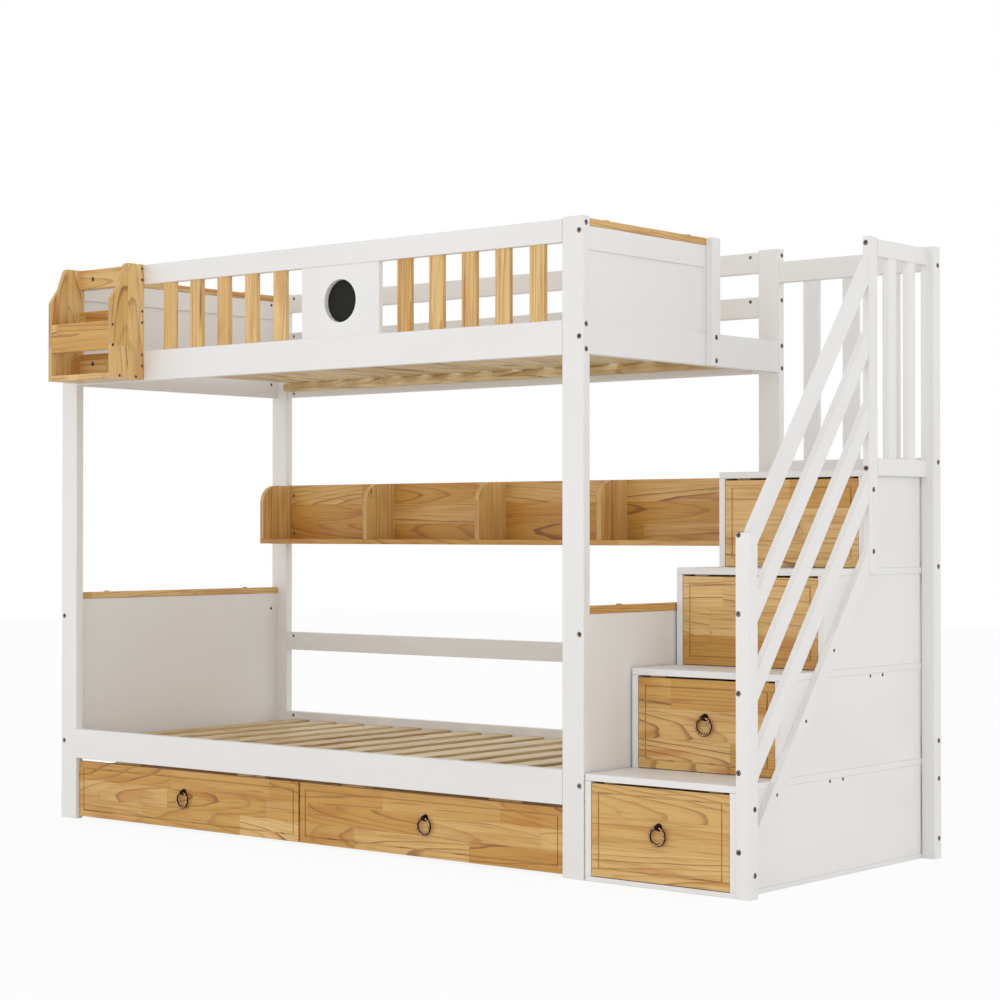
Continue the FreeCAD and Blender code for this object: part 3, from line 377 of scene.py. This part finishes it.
def pine(name, along, across, stave, length, edge=0.0, seed=0.0, warmth=0.5, wood=LACQUERED):
    """Pine glued up from staves this wide and long.

    edge is where one stave starts, seed picks other boards, and warmth runs from pale to honey.
    """
    finish, shader, start = new_finish(name, Coat_Weight=0.18 if wood is LACQUERED else 0.0,
                                       Coat_Roughness=0.28, Specular_IOR_Level=0.4)
    run, side, deep = measure(start, along, across)

    stave_place = (side - edge) / stave
    stave_number = math.floor(stave_place)
    fingers = abs((deep / FINGER).part() - 0.5) * (2 * FINGER_DEEP)
    span = (run + fingers) / length + dice(stave_number, seed, 1.0) * 7.3
    span_number = math.floor(span)
    luck = dice(stave_number, span_number, seed)
    sideways, depth, lean = three_parts(luck.output("Color"))

    knots = start.node("ShaderNodeTexVoronoi", {"Vector": gather(run * 0.55 + seed, side, deep),
                                                "Scale": 1 / KNOT_SPACE}, output="Distance")
    to_knot = knots * KNOT_SPACE
    few = three_parts(knots.output("Color"))[0].step(0.5, 0.52)
    curl = (1 - to_knot.step(0.0, KNOT_CURL)) * few
    core = (1 - to_knot.step(0.004, KNOT_CORE)) * few

    beside = (stave_place.part() - 0.5 - (sideways - 0.5) * HEART_ASIDE) * stave
    behind = (deep / HEART_PITCH).part() * HEART_PITCH + depth * HEART_MORE + HEART_NEAR
    behind = behind + (lean - 0.5) * (span.part() - 0.5) * (length * HEART_LEAN)
    radius = (beside * beside + behind * behind) ** 0.5
    sway = noise(gather(run * 1.5 + luck * 40, side * 11, deep * 11), detail=3.0) - 0.5
    years = (radius + sway * RING_SWAY + curl * curl * KNOT_PUSH) / RING
    age = years.part()
    year_tone = dice(math.floor(years), stave_number, span_number)
    ring_end = 1 - age.step(0.955, 1.0)
    late_wood = age.step(0.25, 0.93) * ring_end
    line = age.step(0.76, 0.90) * ring_end * (year_tone * year_tone * 0.9 + 0.15)

    fibre = noise(gather(run * 9, side * 700, deep * 700), roughness=0.6)
    streak = noise(gather(run * 2.5, side * 70, deep * 70 + seed))
    resin = noise(gather(run * 5, side * 240 + seed, deep * 240), detail=3.0).step(0.59, 0.66)
    flame = noise(gather(run * 3.2 + seed, side * 24, deep * 24)).step(0.52, 0.66)
    tone = (luck * 1.1 + streak * 0.5 + (warmth - 0.80)).step(0.0, 1.0)
    warm = (flame * 0.6 + late_wood * 0.3) * (year_tone * 0.7 + 0.3)
    colour = tone.mix(wood["pale"], wood["honey"])
    colour = warm.mix(colour, wood["amber"])
    colour = (line * 0.9).mix(colour, LATE)
    colour = (fibre.step(0.45, 0.75) * 0.20 + resin * 0.42).mix(colour, LATE)
    colour = (curl * 0.35).mix(colour, wood["amber"])
    colour = (core * 0.9).mix(colour, KNOT)
    seam = abs(span.part() - 0.5).step(0.5 - SEAM / length, 0.5)
    glue = abs(stave_place.part() - 0.5).step(0.5 - GLUE / stave, 0.5)
    colour = (seam.larger(glue * 0.6) * 0.35).mix(colour, LATE)

    surface = fibre * 0.5 + late_wood * 0.35 - core * 0.4
    connect(shader, Base_Color=colour, Roughness=fibre * 0.14 - line * 0.05 + 0.36,
            Normal=bump(surface, 0.00012, 0.6))
    return finish


print("ring width", RING * 1000, "mm")

# %% [markdown]
# ## Which board is pine
# Every clear board gets the pine finish in its own direction. A front or a shelf shows
# its glued staves, so their width divides its height. A slat is one stave, so there the
# stave is as wide as the slats' spacing, and its edge falls in a gap.

# %% Dress the pine boards
FRONT_STAVES = 3
SIDE_STAVES = 2
GUARD_PITCH = 0.1165
GUARD_MARGIN = 0.033    # from the edge of a stave to the slat in it
SLAT_PITCH = 0.1267
SLAT_MARGIN = 0.028

for number, name in enumerate(("bed_drawer_left", "bed_drawer_right")):
    low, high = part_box(f"{name}_front")
    dress(pine(f"pine_{name}", X, Z, (high.z - low.z) / FRONT_STAVES, 0.42, edge=low.z,
               seed=3.7 + number, warmth=0.72), f"{name}_front")
for number, warmth in enumerate((0.85, 0.64, 0.66, 0.66), 1):
    low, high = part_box(f"stair_drawer_{number}_front")
    dress(pine(f"pine_stair_drawer_{number}", X, Z, (high.z - low.z) / FRONT_STAVES, 0.9,
               edge=low.z, seed=11.3 + 1.9 * number, warmth=warmth),
          f"stair_drawer_{number}_front")

low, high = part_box("guard_slats_front")
dress(pine("pine_guard_slats", Z, X, GUARD_PITCH, 1.4, edge=low.x - GUARD_MARGIN, seed=5.1,
           warmth=0.04), "guard_slats_front")
dress(pine("pine_wall_shelf_boards", X, Z, 0.066, 0.5, edge=0.850, seed=8.2, warmth=0.92),
      "wall_shelf_boards")
low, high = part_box("wall_shelf_dividers")
dress(pine("pine_wall_shelf_dividers", Z, Y, (high.y - low.y) / SIDE_STAVES, 0.6,
           edge=low.y, seed=6.6, warmth=0.7), "wall_shelf_dividers")
low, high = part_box("bedside_shelf_sides")
dress(pine("pine_bedside_sides", Z, Y, (high.y - low.y) / SIDE_STAVES, 0.5, edge=low.y,
           seed=2.4, warmth=0.25), "bedside_shelf_sides")
dress(pine("pine_bedside_boards", X, Z, 0.07, 0.5, edge=low.z, seed=9.9, warmth=0.4),
      "bedside_shelf_boards")
dress(pine("pine_caps", Y, X, 0.06, 0.45, edge=-1.31, seed=4.4, warmth=0.4),
      "headboard_caps")
low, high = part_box("upper_bed_slats")
dress(pine("pine_bed_slats", Y, X, SLAT_PITCH, 1.2, edge=low.x - SLAT_MARGIN, seed=7.5,
           warmth=0.45, wood=BARE), "upper_bed_slats", "lower_bed_slats")
dress(pine("pine_ledgers", X, Z, 0.06, 0.7, seed=1.2, warmth=0.45, wood=BARE),
      "slat_ledgers")
print("pine finishes", sum(each.name.startswith("pine_") for each in bpy.data.materials))

# %% [markdown]
# ## White paint
# The white boards are sprayed and rubbed down, so from a step away they are one even warm
# white. Close to, the grain of the solid boards still shows through as long faint ridges, the
# paint has a fine skin, and it is thinner and a little yellower on the rounded edges.
# Smooth fibreboard panels have the skin and the edges but hardly any ridges. On the stair boxes
# a thin grey line is painted where a tread meets the panels above and below it. It is painted
# shade of the crevice there, with a little dust in the gap.

# %% Mix the white paint
WHITE = (0.825, 0.815, 0.800, 1)
WHITE_SHADE = (0.770, 0.752, 0.730, 1)
WHITE_EDGE = (0.710, 0.680, 0.635, 1)
SHADOW = (0.330, 0.310, 0.290, 1)
STEPS = 4
TREAD = 0.018           # thickness of a tread, in metres
JOINT = 0.0016          # how far the grey of a joint reaches to each side of it


def joint_shade_lines(start):
    """1 on the thin lines of painted crevice shade where a tread meets the panels above and
    below it.
    """
    low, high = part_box("stair_side_panels")
    rise = (high.z - low.z + TREAD) / STEPS
    height = measure(start, X, Y)[2]
    flat = abs(measure(start, X, Y, "Normal")[2]).step(0.3, 0.6)
    place = ((height - low.z) / rise).part()
    over = abs(place - 0.5).step(0.5 - JOINT / rise, 0.5)
    under = 1 - abs(place - (1 - TREAD / rise)).step(0.0, JOINT / rise)
    return over.larger(under) * (1 - flat)


def white_paint(name, along, across, ridges=1.0, joint_shade=False):
    """Satin white paint on a board that runs this way; ridges is how much grain shows."""
    finish, shader, start = new_finish(name, Specular_IOR_Level=0.45)
    run, side, deep = measure(start, along, across)
    ridge = noise(gather(run * 2.6, side * 85, deep * 85), detail=3.0)
    skin = noise(gather(run * 160, side * 620, deep * 620), roughness=0.6)
    cloud = noise(gather(run * 1.7, side * 4.1, deep * 4.1))
    edge = rounded_edge(start, along, across)
    worn = edge * noise(gather(run * 21, side * 60, deep * 60)).step(0.42, 0.62)
    colour = (cloud.step(0.35, 0.75) * 0.45).mix(WHITE, WHITE_SHADE)
    colour = (ridge.step(0.5, 0.72) * (0.22 * ridges)).mix(colour, WHITE_SHADE)
    colour = (edge * 0.18 + worn * 0.3).mix(colour, WHITE_EDGE)
    if joint_shade:
        # painted shade in the crevices where tread and panels meet, with a little dust in the
        # gaps
        colour = (joint_shade_lines(start) * 0.35).mix(colour, SHADOW)
    connect(shader, Base_Color=colour,
            Roughness=skin * 0.14 + cloud * 0.12 - edge * 0.06 + 0.32,
            Normal=bump(ridge * (0.5 * ridges) + skin * 0.3, 0.00009, 0.4))
    return finish


print("treads", TREAD * 1000, "mm thick, joints", 2 * JOINT * 1000, "mm wide")

# %% [markdown]
# ## Which board is white
# Posts and rails are solid wood, so their ridges show and run along them. The stair boxes
# and the panels at the ends of the bed are smooth board. Boards that run the same way
# share one finish, because the pattern already differs from place to place.

# %% Dress the white boards
SMOOTH_RIDGES = 0.15

dress(white_paint("white_pine_upright", Z, X), "posts_front", "posts_back", "entry_post",
      "stair_newel_post", "stair_landing_posts")
dress(white_paint("white_pine_lengthwise", X, Z), "upper_side_rails", "lower_side_rails",
      "guard_rail_front", "guard_rails_back", "landing_rails")
dress(white_paint("white_pine_crosswise", Y, Z), "entry_rail", "landing_slats")
dress(white_paint("white_pine_sloping", UP_STAIR, OFF_STAIR), "stair_handrails")
dress(white_paint("white_box_lengthwise", X, Z, SMOOTH_RIDGES, joint_shade=True),
      "stair_treads", "stair_back_panels")
dress(white_paint("white_box_crosswise", Y, Z, SMOOTH_RIDGES, joint_shade=True),
      "stair_side_panels")
dress(white_paint("white_board_crosswise", Y, Z, SMOOTH_RIDGES), "upper_headboard_left",
      "lower_headboards", "upper_end_panel_right")
dress(white_paint("white_board_upright", Z, X, SMOOTH_RIDGES), "porthole_panel")
print("white finishes", sum(each.name.startswith("white_") for each in bpy.data.materials))

# %% [markdown]
# ## Drawer boxes
# Behind each front is a box of thin plywood. Its faces show one broad peeled veneer, and its
# top edges show the layers, which turn a quarter from one to the next and so look light
# and dark in turn. The finish finds the top edges by their height and the way they face.

# %% Mix the plywood
PLY = 0.0015            # one layer, in metres
VENEER_BAND = 0.013     # one band of figure on a face
BACK_BOARD = 0.012      # thickness of the box's back
TOP_EDGE = 0.0035       # how far below the top the edges still count as the top
BORDER = 0.0005         # half the width of a soft border
VENEER = (0.640, 0.480, 0.290, 1)
VENEER_DARK = (0.500, 0.330, 0.165, 1)
DRAWERS = ["bed_drawer_left", "bed_drawer_right"] + [f"stair_drawer_{n}" for n in range(1, 5)]


def seed_of(corner):
    """A number of its own for each box, from where the box stands."""
    return round(corner.x * 3.1 + corner.z * 17.3, 2)


def plywood(name, low, high):
    """Bare plywood for a box of this size."""
    finish, shader, start = new_finish(name, Specular_IOR_Level=0.3)
    x, y, z = measure(start, X, Y)
    facing_x, facing_y, facing_z = (abs(part).step(0.6, 0.8)
                                    for part in measure(start, X, Y, "Normal"))
    run = y * facing_x + x * facing_y + y * facing_z
    side = z * (1 - facing_z) + x * facing_z
    sway = noise(gather(run * 1.3, side * 5, seed_of(low))) - 0.5
    veneer = ((side + sway * 0.09) / VENEER_BAND).part()
    figure = veneer.step(0.2, 0.9) * (1 - veneer.step(0.93, 1.0))
    fibre = noise(gather(run * 8, side * 600, 0.5), roughness=0.6)
    colour = (figure * 0.35 + fibre.step(0.4, 0.8) * 0.25).mix(VENEER, VENEER_DARK)
    rear = y.step(high.y - BACK_BOARD - BORDER, high.y - BACK_BOARD + BORDER)
    layer = ((x * (1 - rear) + y * rear) / (2 * PLY)).part().step(0.48, 0.52)
    top = facing_z * z.step(high.z - TOP_EDGE - BORDER, high.z - TOP_EDGE + BORDER)
    colour = (layer * top * 0.55).mix(colour, VENEER_DARK)
    connect(shader, Base_Color=colour, Roughness=fibre * 0.15 + 0.5,
            Normal=bump(fibre * 0.5 + layer * top * 0.5, 0.00012, 0.6))
    return finish


for name in DRAWERS:
    dress(plywood(f"plywood_{name}", *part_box(f"{name}_box")), f"{name}_box")
dress(pine("pine_stops", X, Z, 0.06, 0.7, seed=1.9, warmth=0.45, wood=BARE), "drawer_stops")
print("boxes", len(DRAWERS))

# %% [markdown]
# ## Black disc
# The round window is backed by a black board with no shine at all. Flat black would look
# like a hole in the picture, so its faint dust and its slightly uneven surface are kept.

# %% Mix the matt black
BOARD_BLACK = (0.010, 0.009, 0.008, 1)
BOARD_DUST = (0.026, 0.023, 0.020, 1)


def matt_black(name):
    """Matt black paint with a little dust on it."""
    finish, shader, start = new_finish(name, Specular_IOR_Level=0.25)
    place = start.node("ShaderNodeTexCoord", output="Object")
    dust = noise(place, 9.0, 3.0).step(0.4, 0.8)
    tooth = noise(place, 900.0, 2.0)
    colour = (dust * 0.5 + tooth.step(0.4, 0.8) * 0.3).mix(BOARD_BLACK, BOARD_DUST)
    connect(shader, Base_Color=colour, Roughness=dust * 0.15 + 0.68,
            Normal=bump(tooth, 0.0001, 0.5))
    return finish


dress(matt_black("black_board"), "porthole_disc")
low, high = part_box("porthole_disc")
print("disc", [round(size, 3) for size in high - low])

# %% [markdown]
# ## Bronze, steel and nylon
# The ring pulls are antique bronze: nearly black in their hollows and rubbed to copper where
# fingers polish them. Each ring takes two finishes by the way its faces look. The bright one on
# its front and back faces is rubbed copper plus a painted highlight. The dark one on its outer
# and inner sides is patina plus painted shade. The bolts are dark plated steel and the wheels
# black nylon.

# %% Mix the hardware finishes
NYLON = (0.020, 0.020, 0.021, 1)
NYLON_SCUFF = (0.09, 0.088, 0.085, 1)


def aged_metal(name, dark, bright, roughness, wear):
    """A plated metal whose dark skin is rubbed bright over this share of it."""
    finish, shader, start = new_finish(name, Metallic=1.0)
    place = start.node("ShaderNodeTexCoord", output="Object")
    patches = noise(place, 160.0, 3.0, 0.6)
    scratches = noise(place, 1100.0, 2.0, 0.7)
    rubbed = (patches + (scratches - 0.5) * 0.3).step(0.68 - wear * 0.5, 0.88 - wear * 0.5)
    connect(shader, Base_Color=rubbed.mix(dark, bright),
            Roughness=scratches * 0.2 + roughness - rubbed * 0.12,
            Normal=bump(scratches * 0.4 + patches * 0.6, 0.00006, 0.4))
    return finish


def nylon(name):
    """Moulded black nylon with pale scuffs."""
    finish, shader, start = new_finish(name, Specular_IOR_Level=0.4)
    place = start.node("ShaderNodeTexCoord", output="Object")
    grain = noise(place, 700.0)
    scuffs = noise(place, 60.0, 3.0).step(0.5, 0.75)
    connect(shader, Base_Color=(scuffs * 0.6).mix(NYLON, NYLON_SCUFF),
            Roughness=grain * 0.2 + scuffs * 0.15 + 0.4, Normal=bump(grain, 0.00008, 0.5))
    return finish


# The bright bronze is rubbed copper and, on a ring's front and back faces, a painted highlight.
# The dark bronze is patina on the studs and rings, and on a ring's outer and inner sides it is
# also painted shade.
bronze_rubbed_highlight = aged_metal("bronze_rubbed_highlight", (0.26, 0.12, 0.065, 1), (0.62, 0.36, 0.22, 1),
                           roughness=0.28, wear=0.6)
bronze_patina_shade = aged_metal("bronze_patina_shade", (0.022, 0.014, 0.010, 1), (0.20, 0.11, 0.07, 1),
                           roughness=0.34, wear=0.15)
dark_plating = aged_metal("dark_plating", (0.120, 0.092, 0.082, 1), (0.48, 0.38, 0.33, 1),
                          roughness=0.32, wear=0.45)
socket_black = aged_metal("socket_black", (0.015, 0.012, 0.010, 1), (0.06, 0.05, 0.04, 1),
                          roughness=0.5, wear=0.1)
black_nylon = nylon("black_nylon")
print("finishes", len(bpy.data.materials))

# %% [markdown]
# ## From outline to piece
# Every round piece here is one outline turned about an axis, and several finishes may
# share it. These helpers make the outline from its points, turn it, close it and hand
# it over: smooth where the surface bends gently, riding on its body, and standing for
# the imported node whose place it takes.

# %% Turn outlines into pieces
SMOOTH_UNDER = math.radians(38)
WELD = 1e-6             # corners nearer than this become one


def outline(shape, points, closed=False):
    """A chain of edges through points of (radius, distance along the Y axis)."""
    corners = [shape.verts.new((radius, along, 0)) for radius, along in points]
    chain = corners + corners[:1] if closed else corners
    return corners + [shape.edges.new(pair) for pair in zip(chain, chain[1:])]


def close_up(shape):
    """Welds corners that lie on each other, and turns every face outwards."""
    bmesh.ops.remove_doubles(shape, verts=shape.verts, dist=WELD)
    bmesh.ops.recalc_face_normals(shape, faces=shape.faces)


def turn(shape, chain, steps):
    """Turns a chain once about the Y axis and closes it."""
    bmesh.ops.spin(shape, geom=chain, cent=(0, 0, 0), axis=(0, 1, 0), dvec=(0, 0, 0),
                   angle=math.tau, steps=steps, use_merge=True)
    close_up(shape)


def finished_piece(name, shape, finishes, replaced):
    """An object from a shape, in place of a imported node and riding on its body."""
    piece = as_object(name, shape)
    piece.data.shade_smooth()
    piece.data.set_sharp_from_angle(angle=SMOOTH_UNDER)
    for finish in finishes:
        piece.data.materials.append(finish)
    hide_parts(replaced)
    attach(piece, *body_of(nodes[replaced]))
    return piece


print("smooth under", round(math.degrees(SMOOTH_UNDER)), "degrees")

# %% [markdown]
# ## Ring pulls
# Each pull is a ring that hangs through a pierced stud on a small round rosette. The
# rosette and stud are one turned outline with a stepped rim and a domed end, and the hole
# is cut with a Boolean modifier, which is applied at once so that no cutter stays in the
# scene.

# %% Turn the studs
MM = 1000               # the outlines are written in millimetres
STAND = 0.008           # drawer front to the middle of the ring's wire
BORE = 0.005            # radius of the hole
TURN_STEPS = 32
ROSETTE = [(0, 0), (10, 0), (10, 0.9), (9.5, 1.5), (8.6, 1.7), (8.3, 2.4), (7.6, 2.9),
           (6.9, 3.1), (6.9, 3.5), (7.0, 3.8), (7.0, 11.2), (6.7, 12.6), (5.6, 13.7),
           (3.4, 14.3), (0, 14.5)]


def without_bore(piece, centre):
    """Cuts a hole along X through a piece, and gives the result as a shape."""
    cutter_shape = bmesh.new()
    along_x = Matrix.Translation(centre) @ Matrix.Rotation(math.pi / 2, 4, "Y")
    bmesh.ops.create_cone(cutter_shape, cap_ends=True, segments=32, radius1=BORE,
                          radius2=BORE, depth=0.04, matrix=along_x)
    cutter = as_object("cutter", cutter_shape)
    cut = piece.modifiers.new("bore", "BOOLEAN")
    cut.object = cutter
    cut.operation = "DIFFERENCE"
    graph = bpy.context.evaluated_depsgraph_get()
    shape = bmesh.new()
    shape.from_mesh(piece.evaluated_get(graph).to_mesh())
    bpy.data.objects.remove(cutter)
    bpy.data.objects.remove(piece)
    return shape


for name in DRAWERS:
    low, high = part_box(f"{name}_ring_mount")
    pivot = Vector(((low.x + high.x) / 2, high.y, (low.z + high.z) / 2))
    shape = bmesh.new()
    points = [(radius / MM, -out / MM) for radius, out in ROSETTE]
    turn(shape, outline(shape, points), TURN_STEPS)
    bmesh.ops.translate(shape, verts=shape.verts, vec=pivot)
    shape = without_bore(as_object("stud", shape), pivot - Y * STAND)
    finished_piece(f"{name}_stud", shape, [bronze_patina_shade],
                   f"{name}_ring_mount")
print("studs", len(DRAWERS))

# %% [markdown]
# ## Rings
# A ring is a small circle turned about a far axis. Its wire has thin grooves along both faces,
# so some points of the circle are drawn in a little. The front and back faces get the bright
# bronze, rubbed copper with a painted highlight. The outer and inner sides get the dark bronze,
# patina with painted shade.

# %% Turn the rings
WIRE_SIDES = 24         # sides of the wire's section
RING_STEPS = 64
GROOVES = (3, 9, 15, 21)
GROOVE_DEEP = 0.00045
SHADE_FROM = 0.0019      # faces farther than this in or out from the wire's middle stay dark


def ring_section(middle, wire):
    """Points round the wire, with grooves on both faces; point 0 is the outermost."""
    for side in range(WIRE_SIDES):
        reach = wire - (GROOVE_DEEP if side in GROOVES else 0)
        angle = math.tau * side / WIRE_SIDES
        yield middle + reach * math.cos(angle), reach * math.sin(angle)


for name in DRAWERS:
    low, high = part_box(f"{name}_ring")
    wire = (high.y - low.y) / 2
    middle = (high.x - low.x) / 2 - wire
    shape = bmesh.new()
    turn(shape, outline(shape, list(ring_section(middle, wire)), closed=True), RING_STEPS)
    # Faces near the wire's middle plane take the bright bronze, a painted highlight. The outer
    # and inner sides take the dark bronze, painted shade.
    for face in shape.faces:
        away = (face.calc_center_median() * Vector((1, 0, 1))).length - middle
        face.material_index = int(abs(away) > SHADE_FROM)
    bmesh.ops.translate(shape, verts=shape.verts, vec=(low + high) / 2)
    finished_piece(f"{name}_pull", shape, [bronze_rubbed_highlight, bronze_patina_shade],
                   f"{name}_ring")
print("rings of", round(high.x - low.x, 4), "m")

# %% [markdown]
# ## Wheels
# Two nylon wheels turn with one steel axle under each end of a bed drawer. One outline
# holds a wheel's tread, its rounded shoulders, the hollow between hub and rim, and the
# end of the axle. The other wheel is its mirror image, and the axle joins them.

# %% Turn the wheels
AXLE = 3                # radius, in millimetres
STEEL_WITHIN = 0.0031   # faces nearer than this to the middle line are the axle's
WHEEL = [(0, 0.3), (2.4, 0.3), (AXLE, 0.9), (AXLE, 1.6), (5.2, 1.6), (5.8, 2.2), (6.0, 4.2),
         (11.4, 4.2), (11.8, 1.0), (12.4, 0.3), (13.6, 0.3), (14.6, 0.8), (15.0, 1.8),
         (15.0, 10.2), (14.6, 11.2), (13.6, 11.7), (12.4, 11.7), (11.8, 11.0), (11.4, 7.8),
         (6.0, 7.8), (5.8, 9.8), (5.2, 12.0), (AXLE, 12.0)]

for name in DRAWERS[:2]:
    for end in ("front", "rear"):
        low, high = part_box(f"{name}_wheels_{end}")
        half = (high.x - low.x) / 2
        shape = bmesh.new()
        points = [(radius / MM, across / MM - half) for radius, across in WHEEL]
        turn(shape, outline(shape, points + [(AXLE / MM, 0)]), TURN_STEPS)
        bmesh.ops.mirror(shape, geom=shape.verts[:] + shape.edges[:] + shape.faces[:],
                         axis="Y", merge_dist=WELD)
        close_up(shape)
        for face in shape.faces:
            at = face.calc_center_median()
            face.material_index = int(math.hypot(at.x, at.z) < STEEL_WITHIN)
        bmesh.ops.rotate(shape, verts=shape.verts, cent=(0, 0, 0),
                         matrix=Matrix.Rotation(math.pi / 2, 3, "Z"))
        bmesh.ops.translate(shape, verts=shape.verts, vec=(low + high) / 2)
        finished_piece(f"{name}_{end}_axle", shape, [black_nylon, dark_plating],
                       f"{name}_wheels_{end}")
print("wheels", [round(size, 3) for size in high - low])

# %% [markdown]
# ## Bolts, barrel nuts and screws
# More than a hundred sunk bolts, nuts and screws hold the bed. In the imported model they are
# plain cylinders in one node, each a separate island, and an island tells all that a piece
# needs: its axis is its longest side, and its head is the wider end.

# %% Read the islands
END_SLICE = 1e-4        # corners this near to a tip belong to that end


def islands(shape):
    """The separate groups of corners of a shape."""
    waiting = set(shape.verts)
    while waiting:
        group, reached = set(), {waiting.pop()}
        while reached:
            corner = reached.pop()
            group.add(corner)
            for edge in corner.link_edges:
                other = edge.other_vert(corner)
                if other in waiting:
                    waiting.discard(other)
                    reached.add(other)
        yield [corner.co.copy() for corner in group]


def read_fastener(corners):
    """Where a fastener's head faces, the middle of its head, its length and both radii."""
    low = Vector(map(min, *corners))
    high = Vector(map(max, *corners))
    size = high - low
    axis = max((X, Y, Z), key=lambda direction: size.dot(direction))
    middle = (low + high) / 2
    ends = {}
    for sign in (1, -1):
        tip = max(sign * corner.dot(axis) for corner in corners)
        ends[sign] = max(((corner - middle) - axis * (corner - middle).dot(axis)).length
                         for corner in corners if sign * corner.dot(axis) > tip - END_SLICE)
    sign = 1 if ends[1] >= ends[-1] else -1
    length = size.dot(axis)
    return axis * sign, middle + axis * (sign * length / 2), length, ends[sign], ends[-sign]


plain = bmesh.new()
plain.from_mesh(nodes["frame_bolts"].data)
bmesh.ops.remove_doubles(plain, verts=plain.verts, dist=WELD)
fasteners = [read_fastener(corners) for corners in islands(plain)]
plain.free()
head_radii = sorted({round(radius * 1000, 1) for _, _, _, radius, _ in fasteners})
print(len(fasteners), "fasteners, head radii", head_radii)

# %% [markdown]
# ## Pressed heads
# Bolts have a hexagon socket, screws a cross and barrel nuts a slot. All three start as the
# same 24-sided head with a rounded rim. Its inner corners are then moved to the outline of
# the recess, and the face between them is pushed in.

# %% Press the heads
HEAD_SIDES = 24
SHANK_SIDES = 8
HEAD_DEEP = 0.0016
BOLT_FROM = 0.006       # heads wider than this radius are bolts, the others screws
SOCKET = 0.0024         # from the middle of a hexagon socket to its flats
SLOT_LONG, SLOT_WIDE = 0.72, 0.16       # half sizes, as shares of the head's radius
CROSS_LONG, CROSS_WIDE = 0.58, 0.17
RIM_WIDE, RIM_DROP = 0.10, 0.07         # the rounding of the rim, in the same measure
RECESS_DEEP = 0.7       # share of the head's thickness
TINY = 1e-9


def recess_reach(radius, is_nut, angle):
    """How far the pressed recess reaches from the middle of a head in a direction."""
    cos, sin = abs(math.cos(angle)) + TINY, abs(math.sin(angle)) + TINY
    if is_nut:
        return min(radius * SLOT_LONG / cos, radius * SLOT_WIDE / sin)
    if radius > BOLT_FROM:
        return SOCKET / math.cos((angle + math.pi / 6) % (math.pi / 3) - math.pi / 6)
    long, wide = radius * CROSS_LONG, radius * CROSS_WIDE
    return max(min(long / cos, wide / sin), min(long / sin, wide / cos))


def moved_face(made):
    """The face that an extrusion has moved away."""
    return next(part for part in made["geom"] if isinstance(part, bmesh.types.BMFace))


def press_head(shape, radius, thick, is_nut):
    """A head along +Z: a rounded rim and a recess."""
    disc = bmesh.ops.create_circle(shape, cap_ends=True, segments=HEAD_SIDES, radius=radius)
    bottom = disc["verts"][0].link_faces[0]
    top = moved_face(bmesh.ops.extrude_face_region(shape, geom=[bottom]))
    bmesh.ops.translate(shape, verts=top.verts, vec=(0, 0, thick))
    rim = bmesh.ops.inset_region(shape, faces=[top], thickness=radius * RIM_WIDE, depth=0)
    outer = {corner for face in rim["faces"] for corner in face.verts} - set(top.verts)
    bmesh.ops.translate(shape, verts=list(outer), vec=(0, 0, -radius * RIM_DROP))
    bmesh.ops.inset_region(shape, faces=[top], thickness=radius * 0.2, depth=0)
    for corner in top.verts:
        angle = math.atan2(corner.co.y, corner.co.x)
        reach = recess_reach(radius, is_nut, angle)
        corner.co.x, corner.co.y = reach * math.cos(angle), reach * math.sin(angle)
    bmesh.ops.inset_region(shape, faces=[top], thickness=0, depth=0)
    pressed = moved_face(bmesh.ops.extrude_face_region(shape, geom=[top]))
    bmesh.ops.delete(shape, geom=[top], context="FACES_ONLY")
    bmesh.ops.translate(shape, verts=pressed.verts, vec=(0, 0, -thick * RECESS_DEEP))
    pressed.material_index = 1
    for edge in pressed.edges:
        for side in edge.link_faces:
            side.material_index = 1


all_heads = bmesh.new()
for facing, top, length, radius, tail_radius in fasteners:
    is_nut = tail_radius > radius * 0.9
    thick = length if is_nut else HEAD_DEEP
    one = bmesh.new()
    press_head(one, radius, thick, is_nut)
    if not is_nut:
        shank = Matrix.Translation((0, 0, (thick - length) / 2))
        bmesh.ops.create_cone(one, cap_ends=True, segments=SHANK_SIDES, radius1=tail_radius,
                              radius2=tail_radius, depth=length - thick, matrix=shank)
    bmesh.ops.recalc_face_normals(one, faces=one.faces)
    turned = facing.to_track_quat("Z", "Y").to_matrix().to_4x4()
    place = Matrix.Translation(top - facing * thick) @ turned
    bmesh.ops.transform(one, matrix=place, verts=one.verts)
    mesh = bpy.data.meshes.new("one_head")
    one.to_mesh(mesh)
    one.free()
    all_heads.from_mesh(mesh)
    bpy.data.meshes.remove(mesh)
heads = finished_piece("bolts_and_screws", all_heads, [dark_plating, socket_black],
                       "frame_bolts")
print("faces in all heads", len(heads.data.polygons))
